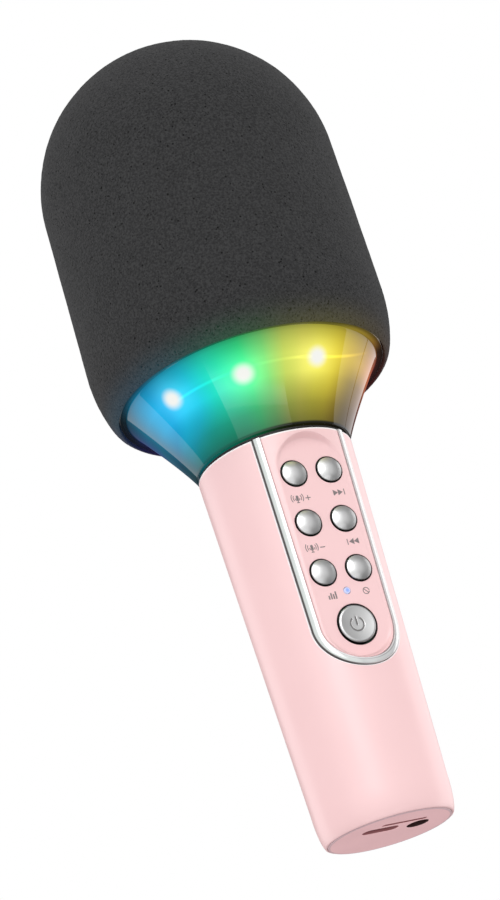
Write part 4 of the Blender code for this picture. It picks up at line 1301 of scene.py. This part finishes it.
def add_card(name, centre, azimuths, elevations, radiance, diffuse=False):
    """A softbox over those ranges of degrees seen from the object; azimuth 0 is the camera's side."""
    distance = 0.9
    azimuth = sum(azimuths) / 2
    elevation = sum(elevations) / 2
    spread = radians(azimuths[1] - azimuths[0]) / 2
    rise = radians(elevations[1] - elevations[0]) / 2
    lamp = bpy.data.lights.new(name, "AREA")
    lamp.shape = "RECTANGLE"
    lamp.size = 2 * distance * tan(spread) * cos(radians(elevation))
    lamp.size_y = 2 * distance * tan(rise)
    lamp.energy = radiance * pi * lamp.size * lamp.size_y
    obj = bpy.data.objects.new(name, lamp)
    bpy.context.scene.collection.objects.link(obj)
    away = direction(azimuth + CAMERA_AZIMUTH, elevation)
    obj.location = centre + away * distance
    obj.rotation_mode = "QUATERNION"
    obj.rotation_quaternion = away.to_track_quat("Z", "Y")
    obj.visible_camera = False
    obj.visible_diffuse = diffuse


def build_lights(centre):
    add_card("card_left", centre, (-142, -108), (-32, 30), 0.85, diffuse=True)
    add_card("card_right", centre, (107, 134), (-32, 32), 1.05, diffuse=True)
    add_card("card_far_right", centre, (134.5, 160), (-12, 34), 1.05, diffuse=True)
    add_card("card_front", centre, (-46, 34), (-18, 44), 0.52)
    add_card("card_half", centre, (34, 60), (-18, 44), 0.22)
    add_card("card_shine", centre, (-14, 12), (2, 46), 1.9)
    add_card("key", centre, (-20, 14), (20, 50), 1.3, diffuse=True)


def build_room():
    """White surroundings for the camera, a softer and darker set for light and for reflections."""
    scene = bpy.context.scene
    scene.world = bpy.data.worlds.new("studio")
    scene.world.use_nodes = True
    room = Nodes(scene.world.node_tree)
    out = room.add("TexCoord", output="Generated")
    height = room.split(out)[2]

    def facing(azimuth):
        """1 straight towards that many degrees from the camera's side, -1 straight away from it."""
        return room.dot(out, direction(CAMERA_AZIMUTH + azimuth, 0.0))

    sky = height.line(-1.0, 1.0, 0.76, 1.22)
    mirror = facing(0.0).line(-0.55, 0.45, 0.07, 0.4) * height.line(-0.5, -0.1, 0.45, 1.0)
    # A low window in front; its pane is brighter under a sill.
    turn = facing(90.0).calc("ARCTAN2", facing(0.0))
    sill = height + facing(-8.0) * 0.307
    pane = turn.calc("COMPARE", radians(0.5), radians(40.5)) * height.calc("LESS_THAN", -0.375)
    pane = pane * sill.fade(-0.47, -0.435) * sill.calc("LESS_THAN", -0.3958).line(0.0, 1.0, 1.0, 1.6)
    glossy = room.add("LightPath", output="Is Glossy Ray")
    unseen = room.add("Mix", {0: glossy, 2: sky, 3: mirror.most(pane)})
    camera = room.add("LightPath", output="Is Camera Ray")
    background = room.tree.nodes["Background"]
    room.put(background.inputs["Strength"], room.add("Mix", {0: camera, 2: unseen, 3: 1.0}))
    room.put(background.inputs["Color"], grey(1.0))
    scene.view_settings.view_transform = "Standard"


def build_floor():
    """A pale floor just under the end cap. Only its upper side shows, and it takes no light away."""
    shape = bmesh.new()
    half = 6.0
    corners = [(-half, -half), (half, -half), (half, half), (-half, half)]
    shape.faces.new([shape.verts.new((x, y, -0.0006)) for x, y in corners])
    mesh = bpy.data.meshes.new("floor")
    shape.to_mesh(mesh)
    shape.free()
    floor = bpy.data.objects.new("floor", mesh)
    bpy.context.scene.collection.objects.link(floor)
    look = Recipe("floor", 0.7)
    look.set(Base_Color=grey(0.94))
    behind = look.add("NewGeometry", output="Backfacing")
    upper = Value(look, look.surface.outputs[0])
    either = look.add("MixShader", {0: behind, 1: upper, 2: look.add("BsdfTransparent")})
    look.put(look.tree.nodes["Material Output"].inputs["Surface"], either)
    mesh.materials.append(look.material)
    for ray in ("diffuse", "glossy", "transmission", "shadow"):
        setattr(floor, f"visible_{ray}", False)


def build_microphone():
    low, high = CAD_BOX
    centre = (low + high) / 2
    build_camera(centre)
    build_lights(centre)
    for build in (build_room, build_floor, dress_frame, build_sleeve, build_trim, build_panel):
        build()
    for build in (build_buttons, build_indicator, build_signs, build_end_cap, build_gasket):
        build()
    for build in (build_diffuser, build_cage, build_foam):
        build()


build_microphone()
